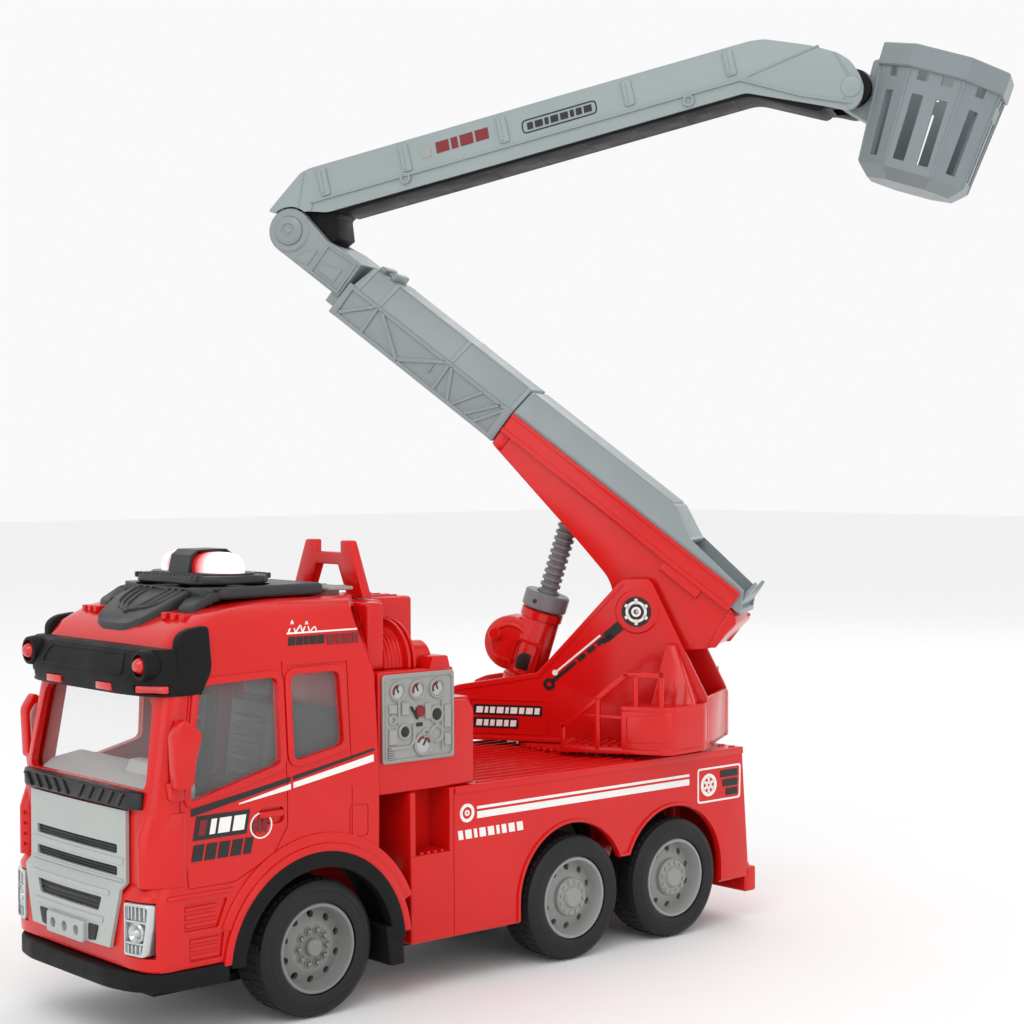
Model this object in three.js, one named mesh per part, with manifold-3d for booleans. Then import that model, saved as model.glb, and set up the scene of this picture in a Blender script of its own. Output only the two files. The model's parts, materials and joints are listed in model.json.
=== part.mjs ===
// Toy fire engine with a swivelling, folding aerial platform.
// Millimetres. +X forward, +Y left, +Z up. The origin is on the ground, under the middle of the
// vehicle's box. The vehicle is laid out about the ground point under its front axle and shifted
// to that origin at the very end.
import * as THREE from 'three';
import { mergeVertices } from 'three/addons/utils/BufferGeometryUtils.js';
import Module from 'manifold-3d';

const wasm = await Module();
wasm.setup();

// ---------------------------------------------------------------- driving dimensions
const GAP = 0.3;                      // clearance between two pieces that touch
const WALL = 2.2;                     // moulded wall thickness

const WHEEL = { radius: 26, width: 20, centreY: 39, rimRadius: 17, axleRadius: 2 };
const AXLES = { front: 0, middle: -130.6, rear: -190.6 };

const CAB = { halfWidth: 50, roofHalfWidth: 45, draftFrom: 88, bottom: 28.4, roof: 156, back: -28.5 };
const ARCH = { x: 0.5, z: 23, outer: 39.2, inner: 30 };
const BODY = { halfWidth: 47, front: -45, back: -240, bottom: 19.5, deck: 79 };
const RACK = { top: 161, back: -15, front: 37, half: 33 };
const BEACON = { x: 18.8, halfLength: 17, halfWidth: 28, bottom: 161.3, baseTop: 164.8, press: 1.5,
  stem: 3 };
const REAR_ARCH = { radius: 29.3, z: 27.8, bridge: 39.2 };
const NICHE = { front: -47.2, back: -64.4, depth: 13, floor: 54 };
const CHASSIS = { bottom: 14, top: 17, halfWidth: 27 };

const TURRET = { x: -198, yaw: -58.5, plate: 22.4, plateWall: 2.2, bottom: 81.3 };
const BOOM_PIVOT = { s: -17.9, z: 140.8 };
const BOOM_LIFT = 37.5;               // boom's slope above level, degrees
const JACK_FOOT = { s: 44, z: 99 };
const JACK_HEAD = { s: 16.8, z: 187 };
const ELBOW = { u: 239.2, v: 36 };  // in the boom's own frame, from the boom pivot
const ARM_SLOPE = 13;                 // arm's slope, falling towards the elbow, degrees
const KNUCKLE = { a: -265.5, b: -7.9 };
const BASKET_TILT = 17.7;
const BASKET = { centre: -35, bottom: -34.2, rimLow: 12.8, rimTop: 22.2, floorHalf: 23, topHalf: 26,
  rimHalf: 27.6 };

// ---------------------------------------------------------------- materials
const plastic = (color, roughness = 0.38, metalness = 0) =>
  new THREE.MeshStandardMaterial({ color, roughness, metalness });
const RED = plastic(0xd8231f, 0.28);
const RED_LENS = plastic(0xe01818, 0.12);
const GREY = plastic(0x8f9b9b, 0.42);
const SILVER = plastic(0xaab0ac, 0.35, 0.3);
const LIGHT_GREY = plastic(0xa9a9a4, 0.4);
const BLACK = plastic(0x282829, 0.5);
const DARK = plastic(0x3a3d3f, 0.45);
const RUBBER = plastic(0x303132, 0.72);
const WHEEL_GREY = plastic(0x8b8b87, 0.4);
const CLEAR = new THREE.MeshStandardMaterial({ color: 0xe8eeee, roughness: 0.08, transparent: true,
  opacity: 0.3 });
const STEEL = plastic(0xb9bcbd, 0.3, 0.9);
const BOARD = plastic(0x2f6b3f, 0.5);

// ---------------------------------------------------------------- solids
function solid(geometry) {
  geometry.deleteAttribute('normal');
  geometry.deleteAttribute('uv');
  const merged = mergeVertices(geometry, 1e-4);
  return new wasm.Manifold(new wasm.Mesh({
    numProp: 3,
    vertProperties: new Float32Array(merged.attributes.position.array),
    triVerts: new Uint32Array(merged.index.array),
  }));
}

function geometryOf(manifold) {
  const mesh = manifold.getMesh();
  const geometry = new THREE.BufferGeometry();
  geometry.setAttribute('position', new THREE.BufferAttribute(new Float32Array(mesh.vertProperties), 3));
  geometry.setIndex(new THREE.BufferAttribute(new Uint32Array(mesh.triVerts), 1));
  return geometry;
}

const block = (x0, x1, y0, y1, z0, z1) => solid(
  new THREE.BoxGeometry(x1 - x0, y1 - y0, z1 - z0).translate((x0 + x1) / 2, (y0 + y1) / 2, (z0 + z1) / 2));

const X = new THREE.Vector3(1, 0, 0);
const Y = new THREE.Vector3(0, 1, 0);
const Z = new THREE.Vector3(0, 0, 1);
const MINUS_Y = new THREE.Vector3(0, -1, 0);

function extrude(points, depth) {
  const shape = new THREE.Shape(points.map(([p, q]) => new THREE.Vector2(p, q)));
  return new THREE.ExtrudeGeometry(shape, { depth, bevelEnabled: false, steps: 1 });
}

// Outlines are (x, z) for alongY, (y, z) for alongX and (x, y) for alongZ.
const alongY = (points, y0, y1) => solid(
  extrude(points, y1 - y0).applyMatrix4(new THREE.Matrix4().makeBasis(X, Z, MINUS_Y)).translate(0, y1, 0));
const alongX = (points, x0, x1) => solid(
  extrude(points, x1 - x0).applyMatrix4(new THREE.Matrix4().makeBasis(Y, Z, X)).translate(x0, 0, 0));
const alongZ = (points, z0, z1) => solid(extrude(points, z1 - z0).translate(0, 0, z0));

function rodY(radius, y0, y1, x, z, segments = 24) {
  return solid(new THREE.CylinderGeometry(radius, radius, y1 - y0, segments).translate(x, (y0 + y1) / 2,
    z));
}

function rodX(radius, x0, x1, y, z, segments = 24) {
  return solid(new THREE.CylinderGeometry(radius, radius, x1 - x0, segments)
    .rotateZ(Math.PI / 2).translate((x0 + x1) / 2, y, z));
}

function rodZ(radius, z0, z1, x, y, segments = 24) {
  return solid(new THREE.CylinderGeometry(radius, radius, z1 - z0, segments)
    .rotateX(Math.PI / 2).translate(x, y, (z0 + z1) / 2));
}

const turned = (profile, segments = 32) =>
  new THREE.LatheGeometry(profile.map(([r, h]) => new THREE.Vector2(r, h)), segments);

const join = (...solids) => solids.reduce((sum, next) => sum.add(next));
const cut = (body, ...tools) => tools.reduce((left, tool) => left.subtract(tool), body);

// The same outline with each side moved out by distance; points run counter-clockwise.
function offset(points, distance) {
  const count = points.length;
  const normal = (a, b) => {
    const length = Math.hypot(b[0] - a[0], b[1] - a[1]);
    return [(b[1] - a[1]) / length, (a[0] - b[0]) / length];
  };
  return points.map((point, i) => {
    const before = normal(points[(i + count - 1) % count], point);
    const after = normal(point, points[(i + 1) % count]);
    const scale = distance / (1 + before[0] * after[0] + before[1] * after[1]);
    return [point[0] + (before[0] + after[0]) * scale, point[1] + (before[1] + after[1]) * scale];
  });
}

// Points on a round stretch, from one angle to another, in degrees.
function arc(cx, cz, radius, from, to, steps = 12) {
  return Array.from({ length: steps + 1 }, (_, i) => {
    const angle = THREE.MathUtils.degToRad(from + (to - from) * i / steps);
    return [cx + radius * Math.cos(angle), cz + radius * Math.sin(angle)];
  });
}

const mirrorY = (manifold) => manifold.mirror([0, 1, 0]);

// ---------------------------------------------------------------- scene graph
const engine = new THREE.Group();
const vehicle = new THREE.Group();
engine.add(vehicle);

const turret = new THREE.Group();
turret.position.x = TURRET.x;
turret.rotation.z = THREE.MathUtils.degToRad(TURRET.yaw);
vehicle.add(turret);

const jack = new THREE.Group();
jack.position.set(JACK_FOOT.s, 0, JACK_FOOT.z);
jack.rotation.y = Math.atan2(JACK_HEAD.s - JACK_FOOT.s, JACK_HEAD.z - JACK_FOOT.z);
turret.add(jack);
const jackLength = Math.hypot(JACK_HEAD.s - JACK_FOOT.s, JACK_HEAD.z - JACK_FOOT.z);

const boom = new THREE.Group();
boom.position.set(BOOM_PIVOT.s, 0, BOOM_PIVOT.z);
boom.rotation.y = -THREE.MathUtils.degToRad(BOOM_LIFT);
turret.add(boom);

const arm = new THREE.Group();
arm.position.set(ELBOW.u, 0, ELBOW.v);
arm.rotation.y = THREE.MathUtils.degToRad(BOOM_LIFT + ARM_SLOPE);
boom.add(arm);

const cage = new THREE.Group();
cage.position.set(KNUCKLE.a, 0, KNUCKLE.b);
cage.rotation.y = -THREE.MathUtils.degToRad(ARM_SLOPE + BASKET_TILT);
arm.add(cage);

function part(name, shape, material, parent = vehicle) {
  const geometry = shape.isBufferGeometry ? shape : geometryOf(shape);
  const mesh = new THREE.Mesh(geometry, material);
  mesh.name = name;
  parent.add(mesh);
  return mesh;
}

// ---------------------------------------------------------------- wheels and axles
// An axle with its two rims pressed on is one node; each tyre is its own.
function wheelSet(name, x) {
  const { radius, width, centreY, rimRadius, axleRadius } = WHEEL;
  const shoulder = width / 2;
  const tyreProfile = [
    [rimRadius + GAP, -shoulder + 0.4], [radius - 3, -shoulder], [radius, -shoulder + 2.6],
    [radius, shoulder - 2.6], [radius - 3, shoulder], [rimRadius + GAP, shoulder - 0.6],
    [rimRadius + GAP, -shoulder + 0.4],
  ];
  const rimProfile = [
    [0, -shoulder + 3], [rimRadius, -shoulder + 3], [rimRadius, shoulder - 2],
      [rimRadius - 1.8, shoulder - 2],
    [rimRadius - 3.4, 1.8], [8, 0.8], [5.6, 7.6], [0, 7.6],
  ];
  let wheels = rodY(axleRadius, -centreY, centreY, x, radius, 12);
  for (const [side, sign] of [['left', 1], ['right', -1]]) {
    const rim = turned(rimProfile).rotateX(sign > 0 ? 0 : Math.PI).translate(x, sign * centreY, radius);
    wheels = wheels.add(solid(rim));
    const tyre = part(`${name}_tyre_${side}`, geometryOf(solid(turned(tyreProfile))), RUBBER);
    tyre.position.set(x, sign * centreY, radius);
    tyre.rotation.x = sign > 0 ? 0 : Math.PI;
  }
  part(`${name}_wheels`, wheels, WHEEL_GREY);
}

for (const [name, x] of Object.entries(AXLES)) wheelSet(name, x);

// ---------------------------------------------------------------- chassis and what it holds
const BATTERY_BOX = { x: -78, length: 20, halfWidth: 12, top: 31 };
const SCREWS = [[-40, 16], [-40, -16], [-222, 16], [-222, -16]];

function chassis() {
  let base = block(-228, 58, -CHASSIS.halfWidth, CHASSIS.halfWidth, CHASSIS.bottom, CHASSIS.top);
  for (const x of Object.values(AXLES)) {
    for (const y of [-25, 25]) {
      base = base.add(block(x - 6, x + 6, y - 2, y + 2, CHASSIS.top - 0.5, WHEEL.radius + 6));
    }
    base = base.subtract(rodY(WHEEL.axleRadius + 0.4, -30, 30, x, WHEEL.radius, 12));
  }
  const { x, length, halfWidth, top } = BATTERY_BOX;
  const box = block(x - length / 2, x + length / 2, -halfWidth, halfWidth, CHASSIS.top - 0.5, top);
  const well = block(x - length / 2 + 1.6, x + length / 2 - 1.6, -halfWidth + 1.6, halfWidth - 1.6, 10,
    top - 1.6);
  const lid = block(x - 14, x + 14, -16, 16, 10, CHASSIS.bottom + 1.6);
  base = cut(base.add(box), well, lid);
  for (const [sx, sy] of SCREWS) {
    base = cut(base, rodZ(3.2, 10, CHASSIS.bottom + 1.6, sx, sy, 12), rodZ(1.8, 10, 20, sx, sy, 12));
  }
  return base.subtract(rodZ(1.8, 10, 20, x - 11.8, 0, 12));
}
part('chassis', chassis(), BLACK);

const lidX = BATTERY_BOX.x;
part('battery_cover', cut(
  block(lidX - 14 + GAP, lidX + 14 - GAP, -16 + GAP, 16 - GAP, CHASSIS.bottom, CHASSIS.bottom + 1.3),
  rodZ(2.9, 13, 14.7, lidX - 11.8, 0, 12), rodZ(1.6, 13, 16, lidX - 11.8, 0, 12)), BLACK);

part('button_cells', join(...[-5.4, 0, 5.4].map((y) => rodY(5.8, y - 2.5, y + 2.5, BATTERY_BOX.x, 22.9,
  16)),
  rodY(4, -7.8, 7.8, BATTERY_BOX.x, 22.9, 16)), STEEL);
part('speaker', cut(rodZ(11, CHASSIS.top + GAP, 23, -25, 0, 20), rodZ(8.5, 20.5, 24, -25, 0, 20)), DARK);
part('circuit_board', block(-22, 10, -14, 14, 58, 59.6), BOARD);

// ---------------------------------------------------------------- cab
const CAB_OUTLINE = [
  [73.4, CAB.bottom], [74.4, 34], [74.4, 55], [71.4, 58], [71.4, 82], [70, 90], [63.8, 125], [62, 140],
  [57, 146.5], [48, 151.4], [36, 154.4], [12, CAB.roof], [-27.6, CAB.roof], [CAB.back, CAB.bottom],
];
const CAB_PLAN = [
  [60, -56], [66.5, -50], [71.5, -45.5], [75, -38], [76.4, -30], [76.4, 30],
  [75, 38], [71.5, 45.5], [66.5, 50], [60, 56], [-60, 56], [-60, -56],
];

// Plane that bevels the upper rear corners, through three points of the left side.
const BEVEL = new THREE.Plane().setFromCoplanarPoints(
  new THREE.Vector3(-16.7, 44, 155), new THREE.Vector3(-29, 31, 155), new THREE.Vector3(-28.5, 48, 122));

// Cab volume, made larger or smaller all over by grow, with the sides leaning in above draftFrom.
function cabVolume(grow, floor = CAB.bottom) {
  const outline = offset(CAB_OUTLINE.slice().reverse(), -grow).reverse();
  const low = CAB.halfWidth + grow;
  const high = CAB.roofHalfWidth + grow;
  const section = [[-low, floor - 20], [low, floor - 20], [low, CAB.draftFrom], [high, CAB.roof + grow],
    [-high, CAB.roof + grow], [-low, CAB.draftFrom]];
  const plan = offset(CAB_PLAN, grow);
  const { x, y, z } = BEVEL.normal;
  return alongY(outline, -60, 60).intersect(alongX(section, -60, 90)).intersect(alongZ(plan, 0, 200))
    .trimByPlane([x, y, z], -BEVEL.constant - grow).trimByPlane([x, -y, z], -BEVEL.constant - grow);
}

const FRONT_WINDOW = [[17.5, 97], [57, 87], [50.8, 127.8], [17.5, 128.6]];
const REAR_WINDOW = [[-11.2, 101.3], [11.8, 97], [11.8, 129], [-10.4, 129]];
const WINDSCREEN = [[-42, 91.5], [42, 91.5], [38, 124], [-38, 124]];

function cabShell() {
  const outer = cabVolume(0);
  const inner = cabVolume(-WALL).add(block(-24, 66, -40, 40, 10, 60));
  let shell = outer.subtract(inner);
  shell = cut(shell, alongY(FRONT_WINDOW, -60, 60), alongY(REAR_WINDOW, -60, 60), alongX(WINDSCREEN, 55,
    90));
  shell = cut(shell, rodY(ARCH.outer + GAP + 0.1, -60, 60, ARCH.x, ARCH.z, 48));
  shell = cut(shell, block(ARCH.x - ARCH.outer - 0.4, ARCH.x + ARCH.outer + 0.4, -60, 60, 10,
    ARCH.z + 0.1));
  for (const side of [-1, 1]) {
    const y = side > 0 ? [35.6, 46.6] : [-46.6, -35.6];
    shell = cut(shell, block(66, 90, y[0], y[1], 33.5, 53.2));
  }
  return cut(shell, rodX(2, 60, 90, 0, 40, 8), rodZ(BEACON.stem + 0.6, 150, 160, BEACON.x, 0, 16));
}
part('cab_shell', cabShell(), RED);

// One clear moulding lines the windscreen and the side windows from inside.
const glazing = cabVolume(-WALL - GAP).subtract(cabVolume(-WALL - GAP - 0.9))
  .intersect(block(-13, 70, -60, 60, 85.5, 130.5));
part('glazing', cut(glazing, block(-20, 5, -60, 60, 80, 96.5)), CLEAR);

function cabInterior() {
  const seat = [[0, 64], [22, 64], [23, 76], [21, 79], [5, 80], [0, 112], [-5, 114], [-7, 112],
    [-3, 66]].reverse();
  const bench = [[-24.5, 64], [-8, 64], [-7, 76], [-16, 79], [-19, 108], [-23, 108],
    [-24.5, 100]].reverse();
  const floor = block(-25, 68, -44, 44, 62.2, 64.2);
  return join(floor, ...[22, -22].map((y) => alongY(seat.map(([p, q]) => [19 + p, q]), y - 13, y + 13)),
    alongY(bench, -34, 34));
}
part('cab_interior', cabInterior(), DARK);
const steering = new THREE.TorusGeometry(11, 1.2, 8, 24).rotateY(-0.25).translate(47, 22, 99);
const column = new THREE.CylinderGeometry(2.4, 2.4, 26,
  12).rotateX(Math.PI / 2).rotateY(0.5).translate(52, 22, 89);
const spoke = new THREE.BoxGeometry(3, 23, 2).rotateY(-0.25).translate(47, 22, 99);
part('dashboard', join(
  alongY([[53, 64.6], [65.6, 64.6], [65.6, 86], [63.4, 90.6], [50, 86.5], [48, 80]], -39, 39),
  solid(steering), solid(column), solid(spoke)), LIGHT_GREY);

const GRILLE_SLOTS = [[68.2, 71.8, 28.2], [60.3, 63.9, 28.2], [47.2, 52.6, 22.6]];
function grille() {
  const face = [[-28.2, 35.2], [28.2, 35.2], [31.5, 46], [34.6, 58], [34.6, 84.3], [-34.6, 84.3],
    [-34.6, 58], [-31.5, 46]];
  const side = [[75.8, 35], [77.4, 35], [77.4, 56], [74.4, 59.2], [74.4, 84.5], [72.9, 84.5],
    [72.9, 58.7], [75.8, 55.5]];
  let plate = alongY(side.slice().reverse(), -40, 40).intersect(alongX(face, 70, 80));
  for (const [low, high, half] of GRILLE_SLOTS) plate = cut(plate, block(70, 90, -half, half, low, high));
  return plate.add(block(75.9, 78.8, -13.6, 13.6, 34.4, 42.4));
}
part('grille', grille(), SILVER);
// The strip below the windscreen runs down behind the grille as its dark backing.
part('grille_trim', join(
  alongY([[69.6, 91], [71.2, 84.8], [75, 84.8], [75, 87.5], [72, 91.4]].reverse(), -42, 42),
  alongY([[72.6, 84.9], [72.6, 58.5], [75.5, 55.3], [75.5, 42], [74.7, 42], [74.7, 55], [71.7, 58.2],
    [71.7, 84.9]], -31, 31),
).subtract(cabVolume(GAP)), BLACK);
for (const [side, sign] of [['left', 1], ['right', -1]]) {
  const housing = block(66.3, 90, 35.9, 46.3, 33.8, 52.9)
    .intersect(cabVolume(0.8)).subtract(cabVolume(-WALL - 1));
  part(`headlight_${side}`, sign > 0 ? housing : mirrorY(housing), SILVER);
  const flag = alongY([[58.5, 93.5], [65.5, 92.5], [66.5, 112], [62.3, 118], [54.6, 112],
    [57, 104]].reverse(), 51.6, 56.4)
    .add(block(60, 66, 47.4, 52, 88, 95)).subtract(cabVolume(GAP));
  part(`mirror_${side}`, sign > 0 ? flag : mirrorY(flag), RED);
}
const LIP_PLAN = [
  [40.3, -50.8], [61, -50.8], [69.5, -47.5], [75.5, -40], [78, -28], [78, 28],
  [75.5, 40], [69.5, 47.5], [61, 50.8], [40.3, 50.8], [40.3, 46], [60, 46], [68, 40], [71, 28],
  [71, -28], [68, -40], [60, -46], [40.3, -46],
];
part('front_lip', alongZ(LIP_PLAN, 21.2, CAB.bottom - GAP), DARK);

function archLiner() {
  const outer = [[ARCH.x + ARCH.outer, 20.5], ...arc(ARCH.x, ARCH.z, ARCH.outer, 0, 180, 20),
    [ARCH.x - ARCH.outer, 18]];
  const inner = [[ARCH.x - ARCH.inner, 22], ...arc(ARCH.x, ARCH.z, ARCH.inner, 180, 0, 16),
    [ARCH.x + ARCH.inner, 20.5]];
  return alongY([...outer, ...inner], 30, 51.4);
}
const liner = archLiner();
part('arch_liner_left', liner, BLACK);
part('arch_liner_right', mirrorY(liner), BLACK);

const VISOR_PLAN = [
  [58, -49], [68, -45.6], [72.6, -36], [72.6, 36], [68, 45.6], [58, 49], [40, 56], [40, -56],
];
const MARKERS = [[-48, -36], [-23.6, -12.6], [12.6, 23.6], [36, 48]];
function visor() {
  const front = [[50, 124.4], [71.5, 124.4], [72.6, 130.4], [67.6, 141], [50, 141.4]];
  const wing = [[47, 149], [45.5, 133], [50, 124.4], [60, 124.4], [60, 145.4], [56, 148]];
  const wings = join(alongY(wing, -48.6, -44), alongY(wing, 44, 48.6));
  let body = join(alongY(front.slice().reverse(), -48.6, 48.6), wings)
    .intersect(alongZ(VISOR_PLAN, 100, 170));
  body = cut(body, alongZ(offset(VISOR_PLAN, -1.7), 125, 129).intersect(block(52, 80, -60, 60, 120, 130)));
  for (const [y0, y1] of MARKERS) body = cut(body, block(56.5, 90, y0 - GAP, y1 + GAP, 125, 129));
  return cut(body, cabVolume(GAP), rodX(3.6, 60, 90, 40.3, 135.6, 16), rodX(3.6, 60, 90, -40.3, 135.6, 16));
}
part('sun_visor', visor(), DARK);
for (const [side, sign] of [['left', 1], ['right', -1]]) {
  part(`visor_lamp_${side}`, rodX(3.2, 66.6, 73.6, sign * 40.3, 135.6, 16).subtract(cabVolume(GAP)),
    RED_LENS);
}
// Four lenses on one strip, which is clipped in from behind the visor.
function markerLights() {
  const strip = alongZ(offset(VISOR_PLAN, -2), 125.3, 128.7)
    .subtract(alongZ(offset(VISOR_PLAN, -3.1), 120, 130));
  let lenses = strip;
  for (const [y0, y1] of MARKERS) {
    const lens = alongZ(offset(VISOR_PLAN, 1.2), 125.3, 128.7)
      .subtract(alongZ(offset(VISOR_PLAN, -2.6), 120, 130));
    lenses = lenses.add(lens.intersect(block(56.5, 90, y0, y1, 120, 130)));
  }
  return lenses.intersect(block(56.8, 90, -60, 60, 120, 130)).subtract(cabVolume(GAP));
}
part('marker_lights', markerLights(), RED_LENS);

// ---------------------------------------------------------------- roof
// Rounded rectangle about (x, 0), made larger by grow.
function beaconPlan(grow) {
  const { x, halfLength, halfWidth } = BEACON;
  const round = 9;
  return [[1, 1, 0], [-1, 1, 90], [-1, -1, 180], [1, -1, 270]].flatMap(([p, q, start]) =>
    arc(x + p * (halfLength - round), q * (halfWidth - round), round + grow, start, start + 90, 5));
}

// The rack carries a tongue that runs down the front of the roof, and a recess for the beacon's foot.
function roofRack() {
  const { top, back, front, half } = RACK;
  const tongue = alongY([[30, 150], [30, top], [front, top - 0.5], [50, 155.4], [57.5, 149], [60, 146],
    [56, 143]].reverse(), -20, 20)
    .intersect(alongZ([[20, -20], [42, -20], [55, -12], [60.5, 0], [55, 12], [42, 20], [20, 20]], 130,
      170));
  const pad = alongZ([[back, -28], [front - 4, -half], [front, -half + 4], [front, half - 4],
    [front - 4, half], [back, 28]],
    CAB.roof - 8, top);
  return cut(pad.add(tongue), cabVolume(GAP),
    alongZ(beaconPlan(0.6), BEACON.bottom - BEACON.press - 0.4, top + 5),
    rodZ(BEACON.stem + 0.5, 140, 170, BEACON.x, 0, 16));
}
part('roof_rack', roofRack(), BLACK);

// The beacon is pressed down as one switch: a stem below its foot reaches through rack and roof.
function beaconFrame() {
  const { x, bottom, baseTop, stem } = BEACON;
  const base = alongZ(beaconPlan(0), bottom, baseTop);
  const bridge = alongX([[-7, 162], [7, 162], [7, 172.4], [5.4, 174], [-5.4, 174], [-7, 172.4]], x - 11,
    x + 11);
  return join(base, bridge.subtract(block(x - 9.6, x + 9.6, -20, 20, baseTop, 167.4)), rodZ(stem, 151,
    162, x, 0, 16));
}
part('beacon_frame', beaconFrame(), DARK);
const dome = alongX([[-25.6, 165.1], [25.6, 165.1], [23.6, 170.2], [18, 173.2], [-18, 173.2],
  [-23.6, 170.2]],
  BEACON.x - 9.3, BEACON.x + 9.3);
part('beacon_lens', dome.subtract(block(-10, 40, -7.3, 7.3, 167.1, 180)), RED_LENS);
part('roof_plate', join(block(-31, -18.7, -30, 30, 157.4, 159), block(-27.4, -20, -26, 26,
  CAB.roof + GAP, 157.5)), LIGHT_GREY);

// ---------------------------------------------------------------- body behind the cab
function bodyShell() {
  const half = BODY.halfWidth;
  const outline = [[BODY.front, BODY.deck], [BODY.front, BODY.bottom], [BODY.back, BODY.bottom],
    [-235.4, BODY.deck]];
  let shell = alongY(outline, -half, half);
  shell = cut(shell,
    block(-233, -68, -half + WALL, half - WALL, 0, BODY.deck - WALL),
    block(-70, -50, -30, 30, 0, BODY.deck - WALL));
  shell = shell.add(block(-244.5, -237, -half, half, 12.7, 24));
  for (const x of [AXLES.middle, AXLES.rear]) {
    shell = cut(shell, rodY(REAR_ARCH.radius, -60, 60, x, REAR_ARCH.z, 40),
      block(x - REAR_ARCH.radius, x + REAR_ARCH.radius, -60, 60, 0, REAR_ARCH.z));
  }
  shell = cut(shell, block(AXLES.rear, AXLES.middle, -60, 60, 0, REAR_ARCH.bridge));
  for (const side of [-1, 1]) {
    const y = side > 0 ? [half - NICHE.depth, 60] : [-60, -half + NICHE.depth];
    shell = cut(shell, block(NICHE.back, NICHE.front, y[0], y[1], NICHE.floor, 90));
  }
  shell = cut(shell, rodZ(14.6, 60, 90, TURRET.x, 0, 28));
  for (const [x, y] of SCREWS.slice(2)) {
    shell = shell.add(rodZ(3.6, CHASSIS.top + GAP, BODY.deck - 1, x, y, 12));
    shell = cut(shell, rodZ(1.6, 0, 34, x, y, 12));
  }
  return shell;
}
part('body_shell', bodyShell(), RED);

function pumpHouse() {
  const outline = [[-30, 79.3], [-30, 126.5], [-67.4, 126.5], [-67.4, 113], [-75, 113], [-78, 109],
    [-78, 79.3]];
  const house = alongY(outline, -46, 46);
  return cut(house, block(-65.2, -32.2, -43.8, 43.8, 60, 124.3), block(-75.8, -65.3, -43.8, 43.8, 60, 107));
}
part('pump_house', pumpHouse(), RED);
part('water_tank', join(
  block(-38, -29.4, -40, 40, 126.8, 152.8), block(-46, -37.9, -28, 28, 146, 152.8),
  block(-70, -37.9, -17, 17, 126.8, 152.8)), RED);
part('hose_reel', cut(join(
  rodX(15.4, -49, -38.3, 23, 127.5, 24), rodX(18, -53, -48.9, 23, 127.5, 24), rodX(7.6, -64, -52.9, 30,
    128.6, 20)),
block(-80, 0, -60, 17.3, 100, 160), block(-80, 0, -60, 60, 100, 126.8)), RED);

function ladderRest() {
  const leg = [[9, 175.8], [14.5, 175.8], [24.5, 153.2], [13.5, 153.2], [7.2, 166], [-7.2, 166],
    [-13.5, 153.2],
    [-24.5, 153.2], [-14.5, 175.8], [-9, 175.8], [-9, 171], [9, 171]];
  return alongX(leg.slice().reverse(), -44, -39.6);
}
part('ladder_rest', ladderRest(), RED);

for (const [side, sign] of [['left', 1], ['right', -1]]) {
  const y = sign > 0 ? [46.3, 48] : [-48, -46.3];
  part(`control_panel_${side}`, block(-66.8, -31, y[0], y[1], 91, 125.6), LIGHT_GREY);
}

// ---------------------------------------------------------------- turret
part('turntable', join(
  rodZ(42, BODY.deck + GAP, TURRET.bottom - GAP, 0, 0, 40), rodZ(14, 70, BODY.deck + 1, 0, 0, 28),
).subtract(rodZ(1.7, 60, 79, 0, 0, 12)), RED, turret);
// A washer-headed screw holds the turntable to the deck from below.
part('turntable_retainer', solid(turned(
  [[0, 0], [3.4, 0], [3.4, 2], [18.6, 2], [18.6, 5], [1.35, 5], [1.35, 14], [0, 14]],
    28).rotateX(Math.PI / 2)
  .translate(0, 0, 64.6)), STEEL, turret);

function turretFrame() {
  const { plate, plateWall, bottom } = TURRET;
  const side = [[-49.5, bottom], [72, bottom], [72, 103.5], [66, 106.1], [28.2, 112.6], [-11.1, 155.2],
    [-23.8, 155.4], [-37.9, 126.7], [-49.5, 103.7]];
  let frame = join(
    alongY(side, plate - plateWall, plate), alongY(side, -plate, plateWall - plate),
    block(-49.5, 72, -plate, plate, bottom, bottom + 2.4),
    block(-49.5, -47.3, -plate, plate, bottom, 103.7), block(69.8, 72, -plate, plate, bottom, 98));
  frame = cut(frame, rodY(3.35, -30, 30, BOOM_PIVOT.s, BOOM_PIVOT.z, 20), rodY(2.3, -30, 30, JACK_FOOT.s,
    JACK_FOOT.z, 16));
  return frame;
}
part('turret_frame', turretFrame(), RED, turret);
part('boom_pin', rodY(3, -TURRET.plate + 0.2, TURRET.plate - 0.2, BOOM_PIVOT.s, BOOM_PIVOT.z, 20), STEEL,
  turret);

// Bar of a hand rail between two points of the (s, z) plane.
function railBar([s0, z0], [s1, z1], t0, t1, width = 2.3) {
  const length = Math.hypot(s1 - s0, z1 - z0);
  const bar = new THREE.BoxGeometry(length + width * 0.8, t1 - t0, width);
  bar.rotateY(-Math.atan2(z1 - z0, s1 - s0)).translate((s0 + s1) / 2, (t0 + t1) / 2, (z0 + z1) / 2);
  return solid(bar);
}

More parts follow.
